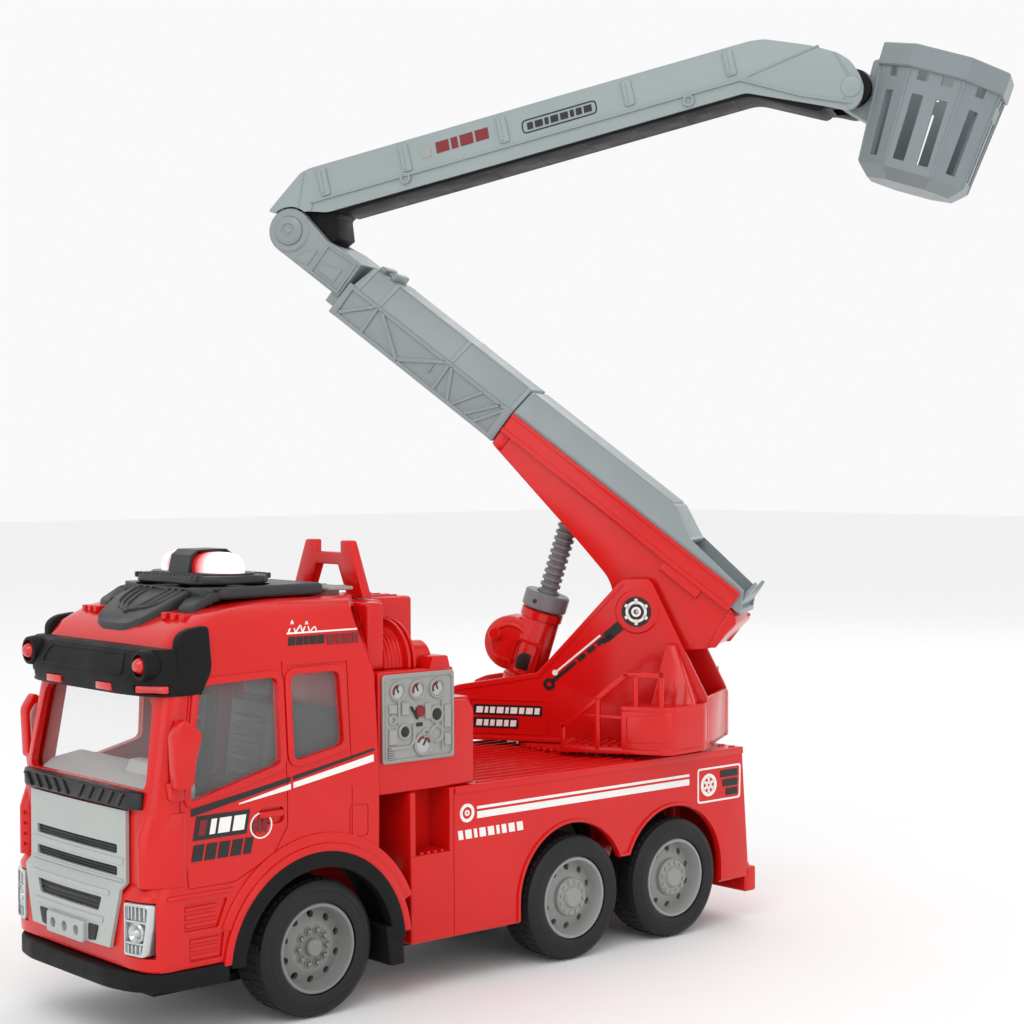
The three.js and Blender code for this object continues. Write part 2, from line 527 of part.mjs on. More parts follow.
function platform() {
  const t0 = TURRET.plate + GAP;
  const base = [[-49.5, t0], [10.5, t0], [10.5, 48.4], [-38.9, 48.4], [-49.5, 27]];
  const locker = [[-49.5, t0], [-16.7, t0], [-16.7, 48.4], [-38.9, 48.4], [-49.5, 27]];
  const rail = [[8.9, 84], [8.9, 92.6], [-18.9, 115.4], [-34.6, 115.4], [-34.6, 101]];
  let sum = join(alongZ(base, TURRET.bottom, 84), alongZ(locker, 83.9, 102));
  for (let i = 1; i < rail.length; i += 1) sum = sum.add(railBar(rail[i - 1], rail[i], 46.1, 48.4));
  sum = join(sum, railBar([-6.5, 84], [-6.5, 104.4], 46.1, 48.4), railBar([-23.4, 101], [-23.4, 114.6],
    46.1, 48.4));
  const fin = alongX([[t0, 101], [36, 101], [25.5, 127], [t0, 127]], -46, -27)
    .intersect(alongY([[-27, 101], [-31.5, 127], [-35.5, 127], [-46, 103], [-46, 101]].reverse(), 0, 60));
  return sum.add(fin);
}
part('platform_left', platform(), RED, turret);
part('platform_right', mirrorY(platform()), RED, turret);

// ---------------------------------------------------------------- jack
const COLLAR = { low: 42.4, high: 50.4, radius: 10.4 };
part('jack_housing', cut(join(
  rodZ(9, -2, COLLAR.low - GAP, 0, 0, 24), rodY(9, -9, 9, 0, 0, 20),
  rodY(12.5, -7.5, 7.5, 9, 23.7, 28), rodY(3, 0, 9.5, 16.5, 25.5, 14)),
rodZ(5.4, 3.9, 60, 0, 0, 20)).add(rodY(1.9, -22.2, 22.2, 0, 0, 16)), RED, jack);
part('jack_collar', rodZ(COLLAR.radius, COLLAR.low, COLLAR.high, 0, 0, 28).subtract(rodZ(5.3, 30, 60, 0,
  0, 20)), GREY, jack);
part('jack_rod', cut(join(
  rodZ(4.7, 30.5, jackLength - 3.2, 0, 0, 20), rodY(5.4, -4, 4, 0, jackLength, 20)),
rodY(3.9, -20, 20, 0, jackLength, 16)), GREY, jack);

// ---------------------------------------------------------------- boom, in its own (u, v) frame
const CHANNEL = { front: 99.9, back: -31, low: 24.2, high: 34.4, half: 18.5 };
const headU = (JACK_HEAD.s - BOOM_PIVOT.s) * Math.cos(THREE.MathUtils.degToRad(BOOM_LIFT))
  + (JACK_HEAD.z - BOOM_PIVOT.z) * Math.sin(THREE.MathUtils.degToRad(BOOM_LIFT));
const headV = (JACK_HEAD.z - BOOM_PIVOT.z) * Math.cos(THREE.MathUtils.degToRad(BOOM_LIFT))
  - (JACK_HEAD.s - BOOM_PIVOT.s) * Math.sin(THREE.MathUtils.degToRad(BOOM_LIFT));

function boomChannel() {
  const belly = [[CHANNEL.front, 25], [CHANNEL.front, 17.2], [43.5, 7.4], [18, 2.2], [9, -8], [-8, -12],
    [-26, -2], [-35.6, 7.3], [-37.5, 23], [-31, 25]].reverse();
  const { front, back, low, high, half } = CHANNEL;
  let red = join(alongY(belly, -16.5, 16.5), block(back, front, -half, half, low, high));
  red = cut(red,
    block(-60, 120, -half + 2, half - 2, low + 1.9, 60),
    block(-24, front - 4, -14, 14, -30, low));
  red = red.add(rodY(6.5, -16.5, 16.5, 0, 0, 20));
  return red.subtract(rodY(3.4, -30, 30, 0, 0, 20)).add(rodY(1.7, -15, 15, headU, headV, 12));
}
part('boom_channel', boomChannel(), RED, boom);

const LINER = { half: 16.1, low: CHANNEL.low + 1.9 + GAP, cover: 46, bevel: 11 };
// Section of a cover whose upper edges are bevelled, as (t, v) points.
const bevelled = (half, low, shoulder, top, bevel) =>
  [[-half, low], [half, low], [half, shoulder], [bevel, top], [-bevel, top], [-half, shoulder]];

function boomLiner() {
  const { half, low, cover, bevel } = LINER;
  const side = [[-36, low], [100.2, low], [100.2, cover], [16, cover], [2.5, 39], [-31, 35.6]];
  const shell = alongY(side, -half, half).intersect(alongX(bevelled(half, low, 35.4, cover, bevel), -60,
    120));
  const inner = alongX(bevelled(half - 1.9, low + 1.9, 34.8, cover - 1.9, bevel - 0.8), -34, 98)
    .intersect(alongY([[-34, low], [98, low], [98, cover - 1.9], [17.2, cover - 1.9], [4, 37.4],
      [-34, 33.6]], -30, 30));
  return cut(shell, inner, block(-60, 1, -half + 1.9, half - 1.9, low + 1.9, 60),
    block(90, 110, -bevel + 0.8, bevel - 0.8, low + 1.9, 41));
}
part('boom_liner', boomLiner(), GREY, boom);

const TRUSS = { rear: 100.5, front: 200.2, half: 16.6, low: 17.8, shoulder: 35, high: 46.5, bevel: 11 };
function trussSection() {
  const { rear, front, half, low, shoulder, high, bevel } = TRUSS;
  const side = [[rear, low], [front, low], [front - 4, high], [rear, high]];
  const tube = alongY(side, -half, half).intersect(alongX(bevelled(half, low, shoulder, high, bevel), 90,
    220));
  const hollow = alongX(bevelled(half - 2.2, low + 2, shoulder - 0.6, high - 2, bevel - 0.8), rear + 3,
    front + 20);
  const tabs = join(block(185, 188.4, -8, 8, high - 1, 50), block(191.5, 195, -8, 8, high - 1, 49));
  return cut(tube.add(tabs), hollow, block(rear - 2, rear + 6, -10, 10, low + 8, high - 5));
}
part('truss_section', trussSection(), GREY, boom);

function fork() {
  const head = [[TRUSS.front + 0.3, 25.6], ...arc(ELBOW.u, ELBOW.v, 10.5, -90, 112, 14),
    [221, 43.2], [212, 44.6], [TRUSS.front + 0.3, 44.6]];
  const shank = block(128, 206, -13.5, 13.5, TRUSS.low + 2.4, TRUSS.shoulder - 1.4);
  return cut(join(alongY(head, -15.5, 15.5), shank),
    rodY(23.5, -10.7, 10.7, ELBOW.u, ELBOW.v, 40), rodY(3.8, -30, 30, ELBOW.u, ELBOW.v, 16),
    block(120, 197, -11.6, 11.6, TRUSS.low + 4.3, TRUSS.shoulder - 3.3));
}
part('fork', fork(), GREY, boom);
part('elbow_pin', join(rodY(3.4, -17, 17, ELBOW.u, ELBOW.v, 16),
  rodY(6.8, 15.8, 17.8, ELBOW.u, ELBOW.v, 20),
  rodY(6.8, -17.8, -15.8, ELBOW.u, ELBOW.v, 20)), GREY, boom);

// ---------------------------------------------------------------- arm, in its own (a, b) frame from the elbow
const ARM_OUTLINE = [
  [8.8, 11.4], [3.6, 15], [-11.6, 25], [-16.4, 25.7], [-145, 24.6], [-228, 23.6], [-234, 22.6],
  [-252.6, 14.3], [-263, 8], [-267.4, 3.4], [-270, -3], [-270.8, -9], [-269, -14], [-265.6, -17.2],
  [-261.6, -17.4], [-257, -14.8], [-221, 2.4], [-108, 2.9], [-20, 3.6], [-12, 6.2], [-3, 8],
];
function armShell() {
  const outer = alongY(ARM_OUTLINE, -15.5, 15.5);
  const inside = [[10.4, 7.6], [2.6, 13], [-12.4, 23.2], [-16.4, 23.8], [-145, 22.7], [-228, 21.7],
    [-233.4, 20.8],
    [-251.8, 12.5], [-262.2, 6.2], [-280, -7], [-280, -30], [20, -30]];
  return cut(outer, alongY(inside, -13.6, 13.6), rodY(11.3, -30, 30, 0, 0, 32),
    rodY(2.6, -30, 30, KNUCKLE.a, KNUCKLE.b, 14));
}
part('arm_shell', armShell(), GREY, arm);

function armLiner() {
  const bar = [[-24.3, 2], [-24.3, 12], [-139.4, 17], [-228, 14], [-254, 0], [-254, -12], [-250, -14.4],
    [-222, 1]];
  const tongue = [...arc(0, 0, 9.6, -60, 90, 10), [-24.4, 12], [-24.4, 2], [-22.4, 1], [-21.4, -8.4],
    [-15, -11]];
  const knuckle = [...arc(KNUCKLE.a, KNUCKLE.b, 8.2, 90, 270, 12), [-252, -13.2], [-252, 0.2]];
  return cut(join(alongY(bar, -13.2, 13.2), alongY(tongue, -10.3, 10.3), alongY(knuckle, -13.2, 13.2)),
    alongY([[-30, 4.4], [-30, 30], [-222, 30], [-222, 4.4]], -11, 11),
    rodY(3.8, -30, 30, 0, 0, 16), rodY(12.2, -8.2, 8.2, KNUCKLE.a, KNUCKLE.b, 28),
    block(-290, KNUCKLE.a, -8.2, 8.2, -30, 20), rodY(2.6, -30, 30, KNUCKLE.a, KNUCKLE.b, 14));
}
part('arm_liner', armLiner(), BLACK, arm);
part('knuckle_pin', rodY(2.2, -15.3, 15.3, KNUCKLE.a, KNUCKLE.b, 14), STEEL, arm);

// ---------------------------------------------------------------- basket, in its own frame from the knuckle pin
// Eight-sided column between two heights, with the half widths given at each.
function octagon(bottom, lowHalf, top, highHalf) {
  const ring = (half) => {
    const side = half * 0.45;
    return [[half, -side], [half, side], [side, half], [-side, half], [-half, side], [-half, -side],
      [-side, -half], [side, -half]].map(([p, q]) => [BASKET.centre + p, q]);
  };
  const low = ring(lowHalf);
  const high = ring(highHalf);
  const positions = [];
  const vertex = ([p, q], z) => [p, q, z];
  for (let i = 0; i < 8; i += 1) {
    const j = (i + 1) % 8;
    positions.push(...vertex(low[i], bottom), ...vertex(low[j], bottom), ...vertex(high[j], top));
    positions.push(...vertex(low[i], bottom), ...vertex(high[j], top), ...vertex(high[i], top));
    if (i > 0 && i < 7) {
      positions.push(...vertex(low[0], bottom), ...vertex(low[j], bottom), ...vertex(low[i], bottom));
      positions.push(...vertex(high[0], top), ...vertex(high[i], top), ...vertex(high[j], top));
    }
  }
  const geometry = new THREE.BufferGeometry();
  geometry.setAttribute('position', new THREE.Float32BufferAttribute(positions, 3));
  return solid(geometry);
}

function basket() {
  const { centre, bottom, rimLow, rimTop, floorHalf, topHalf, rimHalf } = BASKET;
  const knee = bottom + 5;
  let cageSolid = join(octagon(bottom, floorHalf - 5, knee, floorHalf), octagon(knee - 0.01, floorHalf,
    rimLow, topHalf),
    octagon(rimLow - 0.01, rimHalf, rimTop, rimHalf));
  const lug = alongY([...arc(0, 0, 9, -70, 130, 12), [-8, 20], [-12, 20], [-12, -12]], -7.6, 7.6);
  cageSolid = cageSolid.add(lug);
  cageSolid = cut(cageSolid, octagon(bottom + 3, floorHalf - 3.4, rimTop + 1, rimHalf - 2), rodY(2.6,
    -20, 20, 0, 0, 14));
  for (const angle of [45, 90, 135, 180, 225, 270, 315]) {
    for (const offsetAcross of [-5, 5]) {
      const slot = new THREE.BoxGeometry(16, 4.6, 34).translate(26, offsetAcross, -8)
        .rotateZ(THREE.MathUtils.degToRad(angle)).translate(centre, 0, 0);
      cageSolid = cut(cageSolid, solid(slot));
    }
  }
  return cageSolid;
}
part('basket', basket(), GREY, cage);

// ---------------------------------------------------------------- origin at the middle of the box, on the ground
engine.updateMatrixWorld(true);
const box = new THREE.Box3().setFromObject(engine, true);
vehicle.position.set(-(box.min.x + box.max.x) / 2, -(box.min.y + box.max.y) / 2, 0);

export default engine;
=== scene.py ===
"""Toy fire engine: its looks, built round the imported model.

Shapes are laid out in millimetres in local frames (vehicle, turret, jack, boom, arm, basket) that are read
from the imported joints, and then placed in the row frame in metres.
"""
import json
import math

import bmesh
import bpy
from mathutils import Matrix, Vector


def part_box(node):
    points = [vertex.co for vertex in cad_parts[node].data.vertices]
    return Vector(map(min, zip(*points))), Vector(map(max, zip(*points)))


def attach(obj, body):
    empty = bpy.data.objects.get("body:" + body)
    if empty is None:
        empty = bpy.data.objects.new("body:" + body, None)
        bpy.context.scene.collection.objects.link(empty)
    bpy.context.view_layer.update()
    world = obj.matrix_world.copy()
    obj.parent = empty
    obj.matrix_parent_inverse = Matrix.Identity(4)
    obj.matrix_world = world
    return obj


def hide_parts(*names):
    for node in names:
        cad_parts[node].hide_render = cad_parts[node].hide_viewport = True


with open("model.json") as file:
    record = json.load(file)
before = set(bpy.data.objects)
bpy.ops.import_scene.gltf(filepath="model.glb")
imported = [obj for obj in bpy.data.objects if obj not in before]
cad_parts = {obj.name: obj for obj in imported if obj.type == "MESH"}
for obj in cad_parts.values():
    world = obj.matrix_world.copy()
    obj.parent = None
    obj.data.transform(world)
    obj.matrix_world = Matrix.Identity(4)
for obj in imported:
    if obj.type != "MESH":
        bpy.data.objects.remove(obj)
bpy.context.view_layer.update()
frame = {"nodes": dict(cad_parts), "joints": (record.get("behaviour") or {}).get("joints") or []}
JOINTS = {joint["name"]: joint for joint in frame["joints"]}
MM = 0.001
ARM_SLOPE = math.radians(13)          # below level, from the elbow
BASKET_SLOPE = math.radians(17.7)     # above level, from the knuckle


# ---------------------------------------------------------------- frames
def place(origin, x_axis, y_axis, z_axis):
    """Matrix from local millimetres to the row frame."""
    axes = Matrix((x_axis, y_axis, z_axis)).transposed().to_4x4()
    return Matrix.Translation(Vector(origin)) @ axes @ Matrix.Scale(MM, 4)


UP = Vector((0, 0, 1))
wheel_low, wheel_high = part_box("front_wheels")
ORIGIN = Vector(((wheel_low.x + wheel_high.x) / 2, (wheel_low.y + wheel_high.y) / 2, 0))
VEHICLE = place(ORIGIN, (1, 0, 0), (0, 1, 0), (0, 0, 1))
ACROSS = Vector(JOINTS["elbow_fold"]["axis"]).normalized()
ALONG = ACROSS.cross(UP)
swivel = JOINTS["turret_swivel"]["pos_m"]
TURRET = place((swivel[0], swivel[1], 0), ALONG, ACROSS, UP)
boom_axis = Vector(JOINTS["boom_extend"]["axis"]).normalized()
BOOM = place(JOINTS["boom_lift"]["pos_m"], boom_axis, ACROSS, boom_axis.cross(ACROSS))
jack_axis = Vector(JOINTS["rack_slide"]["axis"]).normalized()
JACK = place(JOINTS["jack_swing"]["pos_m"], ACROSS.cross(jack_axis), ACROSS, jack_axis)
arm_axis = ALONG * math.cos(ARM_SLOPE) - UP * math.sin(ARM_SLOPE)
ARM = place(JOINTS["elbow_fold"]["pos_m"], arm_axis, ACROSS, arm_axis.cross(ACROSS))
cage_axis = ALONG * math.cos(BASKET_SLOPE) + UP * math.sin(BASKET_SLOPE)
CAGE = place(JOINTS["basket_tilt"]["pos_m"], cage_axis, ACROSS, cage_axis.cross(ACROSS))
# every other body is laid out in the vehicle's frame
FRAMES = {"turret": TURRET, "jack": JACK, "jack_rod": JACK, "boom": BOOM, "stage": BOOM, "fork": BOOM,
          "arm": ARM, "basket": CAGE}


# ---------------------------------------------------------------- materials
def linear(red, green, blue):
    """sRGB 0 to 255 as linear 0 to 1, with alpha."""
    return [((c / 255 + 0.055) / 1.055) ** 2.4 if c > 10 else c / 255 / 12.92 for c in (red, green, blue)] + [1]


COLOR_WAVES, GLOSS_WAVES = 28, 90     # noise scales, per metre
GRAIN_DEPTH = 0.1 * MM
LENS_RED_HALF, LENS_WHITE_HALF = 8 * MM, 17 * MM


def add_node(tree, kind, **inputs):
    """A shader node with some of its inputs set; an underscore in a name stands for a space."""
    made = tree.nodes.new("ShaderNode" + kind)
    for key, value in inputs.items():
        made.inputs[key.replace("_", " ")].default_value = value
    return made


def plastic(name, color, rough=0.32, grain=0.12, size=1.2, coat=0.0, metallic=0.0, vary=0.06, alpha=1.0,
            specular=0.5):
    """Moulded plastic: a grain of the size in mm, slow waves in its gloss and small changes of colour."""
    material = bpy.data.materials.new(name)
    material.use_nodes = True
    tree = material.node_tree
    link = tree.links.new
    shader = tree.nodes["Principled BSDF"]
    spot = add_node(tree, "TexCoord").outputs["Object"]

    def noise(scale, detail, roughness=0.5):
        made = add_node(tree, "TexNoise", Scale=scale, Detail=detail, Roughness=roughness)
        link(spot, made.inputs["Vector"])
        return made.outputs["Fac"]

    base = linear(*color)[:3]
    mix = add_node(tree, "Mix")
    mix.data_type = "RGBA"
    factor, dark, bright = mix.inputs[0], mix.inputs[6], mix.inputs[7]
    dark.default_value = [c * (1 - vary) for c in base] + [1]
    bright.default_value = [min(1, c * (1 + vary) + 0.004) for c in base] + [1]
    link(noise(COLOR_WAVES, 3), factor)
    link(mix.outputs[2], shader.inputs["Base Color"])
    gloss = add_node(tree, "MapRange", From_Min=0.3, From_Max=0.7, To_Min=rough * 0.86, To_Max=rough * 1.16)
    link(noise(GLOSS_WAVES, 4), gloss.inputs["Value"])
    link(gloss.outputs["Result"], shader.inputs["Roughness"])
    bump = add_node(tree, "Bump", Strength=grain, Distance=GRAIN_DEPTH)
    link(noise(1 / (size * MM), 3, 0.6), bump.inputs["Height"])
    link(bump.outputs["Normal"], shader.inputs["Normal"])
    for key, value in (("Metallic", metallic), ("Coat Weight", coat), ("Coat Roughness", 0.12),
                       ("Specular IOR Level", specular), ("Alpha", alpha)):
        shader.inputs[key].default_value = value
    return material


def lit_lens(name):
    """The beacon's red lens, lit from inside: white at its two ends, red in the middle."""
    material = plastic(name, (226, 30, 34), 0.12, 0.05, 2.0, coat=0.5)
    tree = material.node_tree
    link = tree.links.new
    shader = tree.nodes["Principled BSDF"]
    split = add_node(tree, "SeparateXYZ")
    link(add_node(tree, "TexCoord").outputs["Object"], split.inputs[0])
    centre, side = add_node(tree, "Math"), add_node(tree, "Math")
    centre.operation, side.operation = "SUBTRACT", "ABSOLUTE"
    centre.inputs[1].default_value = ORIGIN.y
    link(split.outputs["Y"], centre.inputs[0])
    link(centre.outputs[0], side.inputs[0])
    glow = add_node(tree, "MapRange", From_Min=LENS_RED_HALF, From_Max=LENS_WHITE_HALF, To_Min=0.0, To_Max=1.5)
    glow.interpolation_type = "SMOOTHSTEP"
    link(side.outputs[0], glow.inputs["Value"])
    link(glow.outputs["Result"], shader.inputs["Emission Strength"])
    shader.inputs["Emission Color"].default_value = (1, 0.93, 0.92, 1)
    return material


RED = plastic("red_gloss", (206, 12, 9), 0.22, 0.08, 2.4, coat=0.12, specular=0.36)
RED_DEEP = plastic("red_lens", (206, 14, 20), 0.10, 0.04, 2.0, coat=0.6)
WHITE = plastic("white_print", (238, 236, 232), 0.42, 0.05)
INK = plastic("black_print", (14, 13, 15), 0.4, 0.05)
MAROON = plastic("dark_red_print", (118, 6, 14), 0.4, 0.05)
ARM_GREY = plastic("arm_grey", (142, 153, 154), 0.34, 0.14, 1.4)
BOOM_GREY = plastic("boom_grey", (132, 141, 143), 0.34, 0.14, 1.4)
CAGE_GREY = plastic("basket_grey", (124, 133, 136), 0.36, 0.16, 1.4)
ROD_GREY = plastic("rod_grey", (116, 114, 116), 0.4, 0.2, 1.2)
BLACK = plastic("black_plastic", (15, 15, 17), 0.52, 0.2, 1.0, specular=0.16)
CHARCOAL = plastic("charcoal_plastic", (36, 38, 40), 0.36, 0.2, 1.0, specular=0.4)
RACK_GREY = plastic("rack_plastic", (42, 44, 46), 0.4, 0.25, 0.9, specular=0.4)
RUBBER = plastic("tyre_rubber", (24, 25, 27), 0.5, 0.5, 0.8, vary=0.12, specular=0.3)
RIM_GREY = plastic("rim_grey", (122, 123, 121), 0.34, 0.16, 1.2)
HUB_GREY = plastic("hub_grey", (142, 143, 141), 0.34, 0.16, 1.2)
PANEL = plastic("panel_grey", (150, 150, 146), 0.4, 0.2, 1.0)
SILVER = plastic("silver_paint", (172, 177, 174), 0.3, 0.22, 0.7, metallic=0.15)
LAMP = plastic("lamp_silver", (196, 200, 200), 0.14, 0.08, 1.2, coat=0.5, metallic=0.55)
DASH = plastic("dash_grey", (176, 177, 175), 0.46, 0.3, 0.9)
SEAT = plastic("seat_grey", (46, 45, 48), 0.5, 0.35, 0.9)
CLEAR = plastic("clear_plastic", (238, 242, 243), 0.05, 0.03, 4.0, alpha=0.07, specular=0.8)
STEEL = plastic("steel", (184, 186, 188), 0.28, 0.1, 0.6, metallic=0.95)
BOARD = plastic("board_green", (44, 104, 60), 0.45, 0.2, 1.0)
LENS_LIT = lit_lens("lens_lit")


# ---------------------------------------------------------------- solids, each a bmesh in local millimetres
AXES = {"x": lambda p, q, h: (h, p, q), "y": lambda p, q, h: (p, h, q), "z": lambda p, q, h: (p, q, h)}


def soften(bm, width, steps=2, angle=30):
    """Rounds the edges that turn by more than the angle."""
    edges = [e for e in bm.edges if len(e.link_faces) == 2 and e.calc_face_angle(0) > math.radians(angle)]
    if width and edges:
        bmesh.ops.bevel(bm, geom=edges, offset=width, offset_type="OFFSET", segments=steps, profile=0.5,
                        affect="EDGES", clamp_overlap=True)
    return bm


def outward(bm):
    bmesh.ops.recalc_face_normals(bm, faces=bm.faces)
    return bm


def loft(rings, ends=True):
    """Skin over closed rings of the same number of points."""
    bm = bmesh.new()
    made = [[bm.verts.new(point) for point in ring] for ring in rings]
    count = len(rings[0])
    for low, high in zip(made, made[1:]):
        for i in range(count):
            j = (i + 1) % count
            bm.faces.new((low[i], low[j], high[j], high[i]))
    if ends:
        bm.faces.new(made[0][::-1])
        bm.faces.new(made[-1])
    return outward(bm)


def prism(points, low, high, axis="y", bevel=0.0, steps=2, angle=30):
    """Outline pushed along an axis; the outline is (x, z) along y, (y, z) along x and (x, y) along z."""
    put = AXES[axis]
    bm = loft([[put(p, q, low) for p, q in points], [put(p, q, high) for p, q in points]])
    return soften(bm, bevel, steps, angle)


def box(x0, x1, y0, y1, z0, z1, bevel=0.5, steps=2):
    return prism([(x0, y0), (x1, y0), (x1, y1), (x0, y1)], z0, z1, "z", bevel, steps)


def circle(cx, cy, radius, count=40):
    return [(cx + radius * math.cos(2 * math.pi * i / count), cy + radius * math.sin(2 * math.pi * i / count))
            for i in range(count)]


def arc(cx, cy, radius, start, end, steps=12):
    """Points on a round stretch, from one angle to another, in degrees."""
    angles = [math.radians(start + (end - start) * i / steps) for i in range(steps + 1)]
    return [(cx + radius * math.cos(a), cy + radius * math.sin(a)) for a in angles]


def rod(radius, low, high, axis="y", at=(0, 0), bevel=0.3, count=40):
    return prism(circle(*at, radius, count), low, high, axis, bevel, 2, 50)


def lathe(profile, axis="y", at=(0, 0), count=48):
    """Profile of (radius, height) turned about an axis; it starts and ends on the axis, or closes on itself."""
    put = AXES[axis]
    bm = bmesh.new()
    rings = []
    for radius, height in profile:
        if radius < 1e-6:
            rings.append([bm.verts.new(put(at[0], at[1], height))])
        else:
            rings.append([bm.verts.new(put(p, q, height)) for p, q in circle(*at, radius, count)])
    closed = profile[0][0] > 1e-6
    pairs = list(zip(rings, rings[1:])) + ([(rings[-1], rings[0])] if closed else [])
    for low, high in pairs:
        for i in range(count):
            j = (i + 1) % count
            quad = [low[i % len(low)], low[j % len(low)], high[j % len(high)], high[i % len(high)]]
            quad = list(dict.fromkeys(quad))
            if len(quad) > 2:
                bm.faces.new(quad)
    return outward(bm)


def rounded(points, radius, steps=4):
    """The outline with each corner rounded; radius is one number or one for each corner."""
    radii = radius if isinstance(radius, (list, tuple)) else [radius] * len(points)
    result = []
    for i, (point, r) in enumerate(zip(points, radii)):
        here = Vector(point)
        before, after = Vector(points[i - 1]) - here, Vector(points[(i + 1) % len(points)]) - here
        reach = min(r, before.length * 0.48, after.length * 0.48)
        if reach < 0.01:
            result.append(tuple(here))
            continue
        first, last = here + before.normalized() * reach, here + after.normalized() * reach
        for k in range(steps + 1):
            t = k / steps
            result.append(tuple(first * (1 - t) ** 2 + here * 2 * t * (1 - t) + last * t ** 2))
    return result


def rect(p0, p1, q0, q1, radius=0.0):
    """Rectangular outline; radius is one number or one for each corner."""
    return rounded([(p0, q0), (p1, q0), (p1, q1), (p0, q1)], radius)


def ribbon(path, width, low, high, axis="y", closed=False, top=0.6):
    """Raised line along a flat path, narrower at its top."""
    points = [Vector(p) for p in path]
    count = len(points)
    put = AXES[axis]
    rings = []
    for i, point in enumerate(points):
        before = points[i] - points[i - 1] if closed or i else points[1] - points[0]
        after = points[(i + 1) % count] - points[i] if closed or i < count - 1 else points[-1] - points[-2]
        before, after = before.normalized(), after.normalized()
        across = Vector((-before.y - after.y, before.x + after.x))
        side = across.normalized() / max(1.0, across.length)     # half a unit, and more at a bend
        ring = [(point - side * width, low), (point + side * width, low), (point + side * width * top, high),
                (point - side * width * top, high)]
        rings.append([put(p.x, p.y, h) for p, h in ring])
    if closed:
        rings.append(rings[0])
    bm = loft(rings, not closed)
    bmesh.ops.remove_doubles(bm, verts=bm.verts, dist=1e-5)
    return outward(bm)


def tube(path, radius, count=12, closed=False):
    """Round bar along a path in space."""
    points = [Vector(p) for p in path]
    rings = []
    side = None
    total = len(points)
    for i, point in enumerate(points):
        ahead = points[(i + 1) % total] if closed or i < total - 1 else point
        behind = points[i - 1] if closed or i else point
        along = (ahead - behind).normalized()
        if side is None:
            side = along.cross(UP if abs(along.z) < 0.9 else Vector((1, 0, 0))).normalized()
        side = (side - along * side.dot(along)).normalized()
        other = along.cross(side)
        rings.append([tuple(point + side * radius * math.cos(a) + other * radius * math.sin(a))
                      for a in (2 * math.pi * k / count for k in range(count))])
    if closed:
        rings.append(rings[0])
    bm = loft(rings, not closed)
    bmesh.ops.remove_doubles(bm, verts=bm.verts, dist=1e-5)
    return outward(bm)


def mirrored(bm):
    other = bm.copy()
    bmesh.ops.scale(other, vec=(1, -1, 1), verts=other.verts)
    return outward(other)


def both(*solids):
    """Each solid and its mirror image on the other side."""
    return [made for solid in solids for made in (solid, mirrored(solid))]


def turned(bm, angle, axis="y", at=(0, 0, 0)):
    bmesh.ops.rotate(bm, cent=at, matrix=Matrix.Rotation(math.radians(angle), 3, axis.upper()), verts=bm.verts)
    return bm


def moved(bm, x=0, y=0, z=0):
    bmesh.ops.translate(bm, vec=(x, y, z), verts=bm.verts)
    return bm


def draped(bm, change):
    """Moves every point by change(x, y, z)."""
    for vertex in bm.verts:
        vertex.co = vertex.co + Vector(change(*vertex.co))
    return bm


def merged(solids):
    total = bmesh.new()
    for solid in solids:
        mesh = bpy.data.meshes.new("part")
        solid.to_mesh(mesh)
        total.from_mesh(mesh)
        bpy.data.meshes.remove(mesh)
    return total


def combined(base, tool, operation="DIFFERENCE"):
    """Boolean of two solids; the tool may be several that don't touch one another."""
    def wrap(bm):
        mesh = bpy.data.meshes.new("tool")
        bm.to_mesh(mesh)
        made = bpy.data.objects.new("tool", mesh)
        bpy.context.scene.collection.objects.link(made)
        return made

    target = wrap(base)
    helper = wrap(tool)
    modifier = target.modifiers.new("cut", "BOOLEAN")
    modifier.operation = operation
    modifier.solver = "MANIFOLD"
    modifier.object = helper
    result = bmesh.new()
    result.from_mesh(target.evaluated_get(bpy.context.evaluated_depsgraph_get()).to_mesh())
    for used in (target, helper):
        mesh = used.data
        bpy.data.objects.remove(used)
        bpy.data.meshes.remove(mesh)
    return result


def cut(base, *tools):
    for tool in tools:
        base = combined(base, tool)
    return base


def cut_both(base, *tools):
    """Cuts away each tool and its mirror image."""
    for tool in tools:
        base = cut(base, tool, mirrored(tool))
    return base


def every(bm):
    return bm.verts[:] + bm.edges[:] + bm.faces[:]


def sliced(bm, axis, places):
    """Divides the faces along planes square to an axis, so that the solid can bend there."""
    normal = Vector([float(axis == name) for name in "xyz"])
    for at in places:
        bmesh.ops.bisect_plane(bm, geom=every(bm), plane_co=normal * at, plane_no=normal)
    return bm


def piece(name, body, solids, material, stands_for=(), sharp=32):
    """One visible piece: the solids joined in one mesh, on a body, in that body's frame."""
    bm = merged(solids)
    bm.transform(FRAMES.get(body, VEHICLE))
    mesh = bpy.data.meshes.new(name)
    bm.to_mesh(mesh)
    mesh.shade_smooth()
    mesh.set_sharp_from_angle(angle=math.radians(sharp))
    mesh.materials.append(material)
    made = bpy.data.objects.new(name, mesh)
    bpy.context.scene.collection.objects.link(made)
    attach(made, body)
    if stands_for:
        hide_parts(*stands_for)
    return made


def table(value, rows):
    """Straight-line reading of a table of (key, value, ...) rows."""
    if value <= rows[0][0]:
        return rows[0][1:]
    for low, high in zip(rows, rows[1:]):
        if value <= high[0]:
            t = (value - low[0]) / (high[0] - low[0])
            return tuple(a + (b - a) * t for a, b in zip(low[1:], high[1:]))
    return rows[-1][1:]


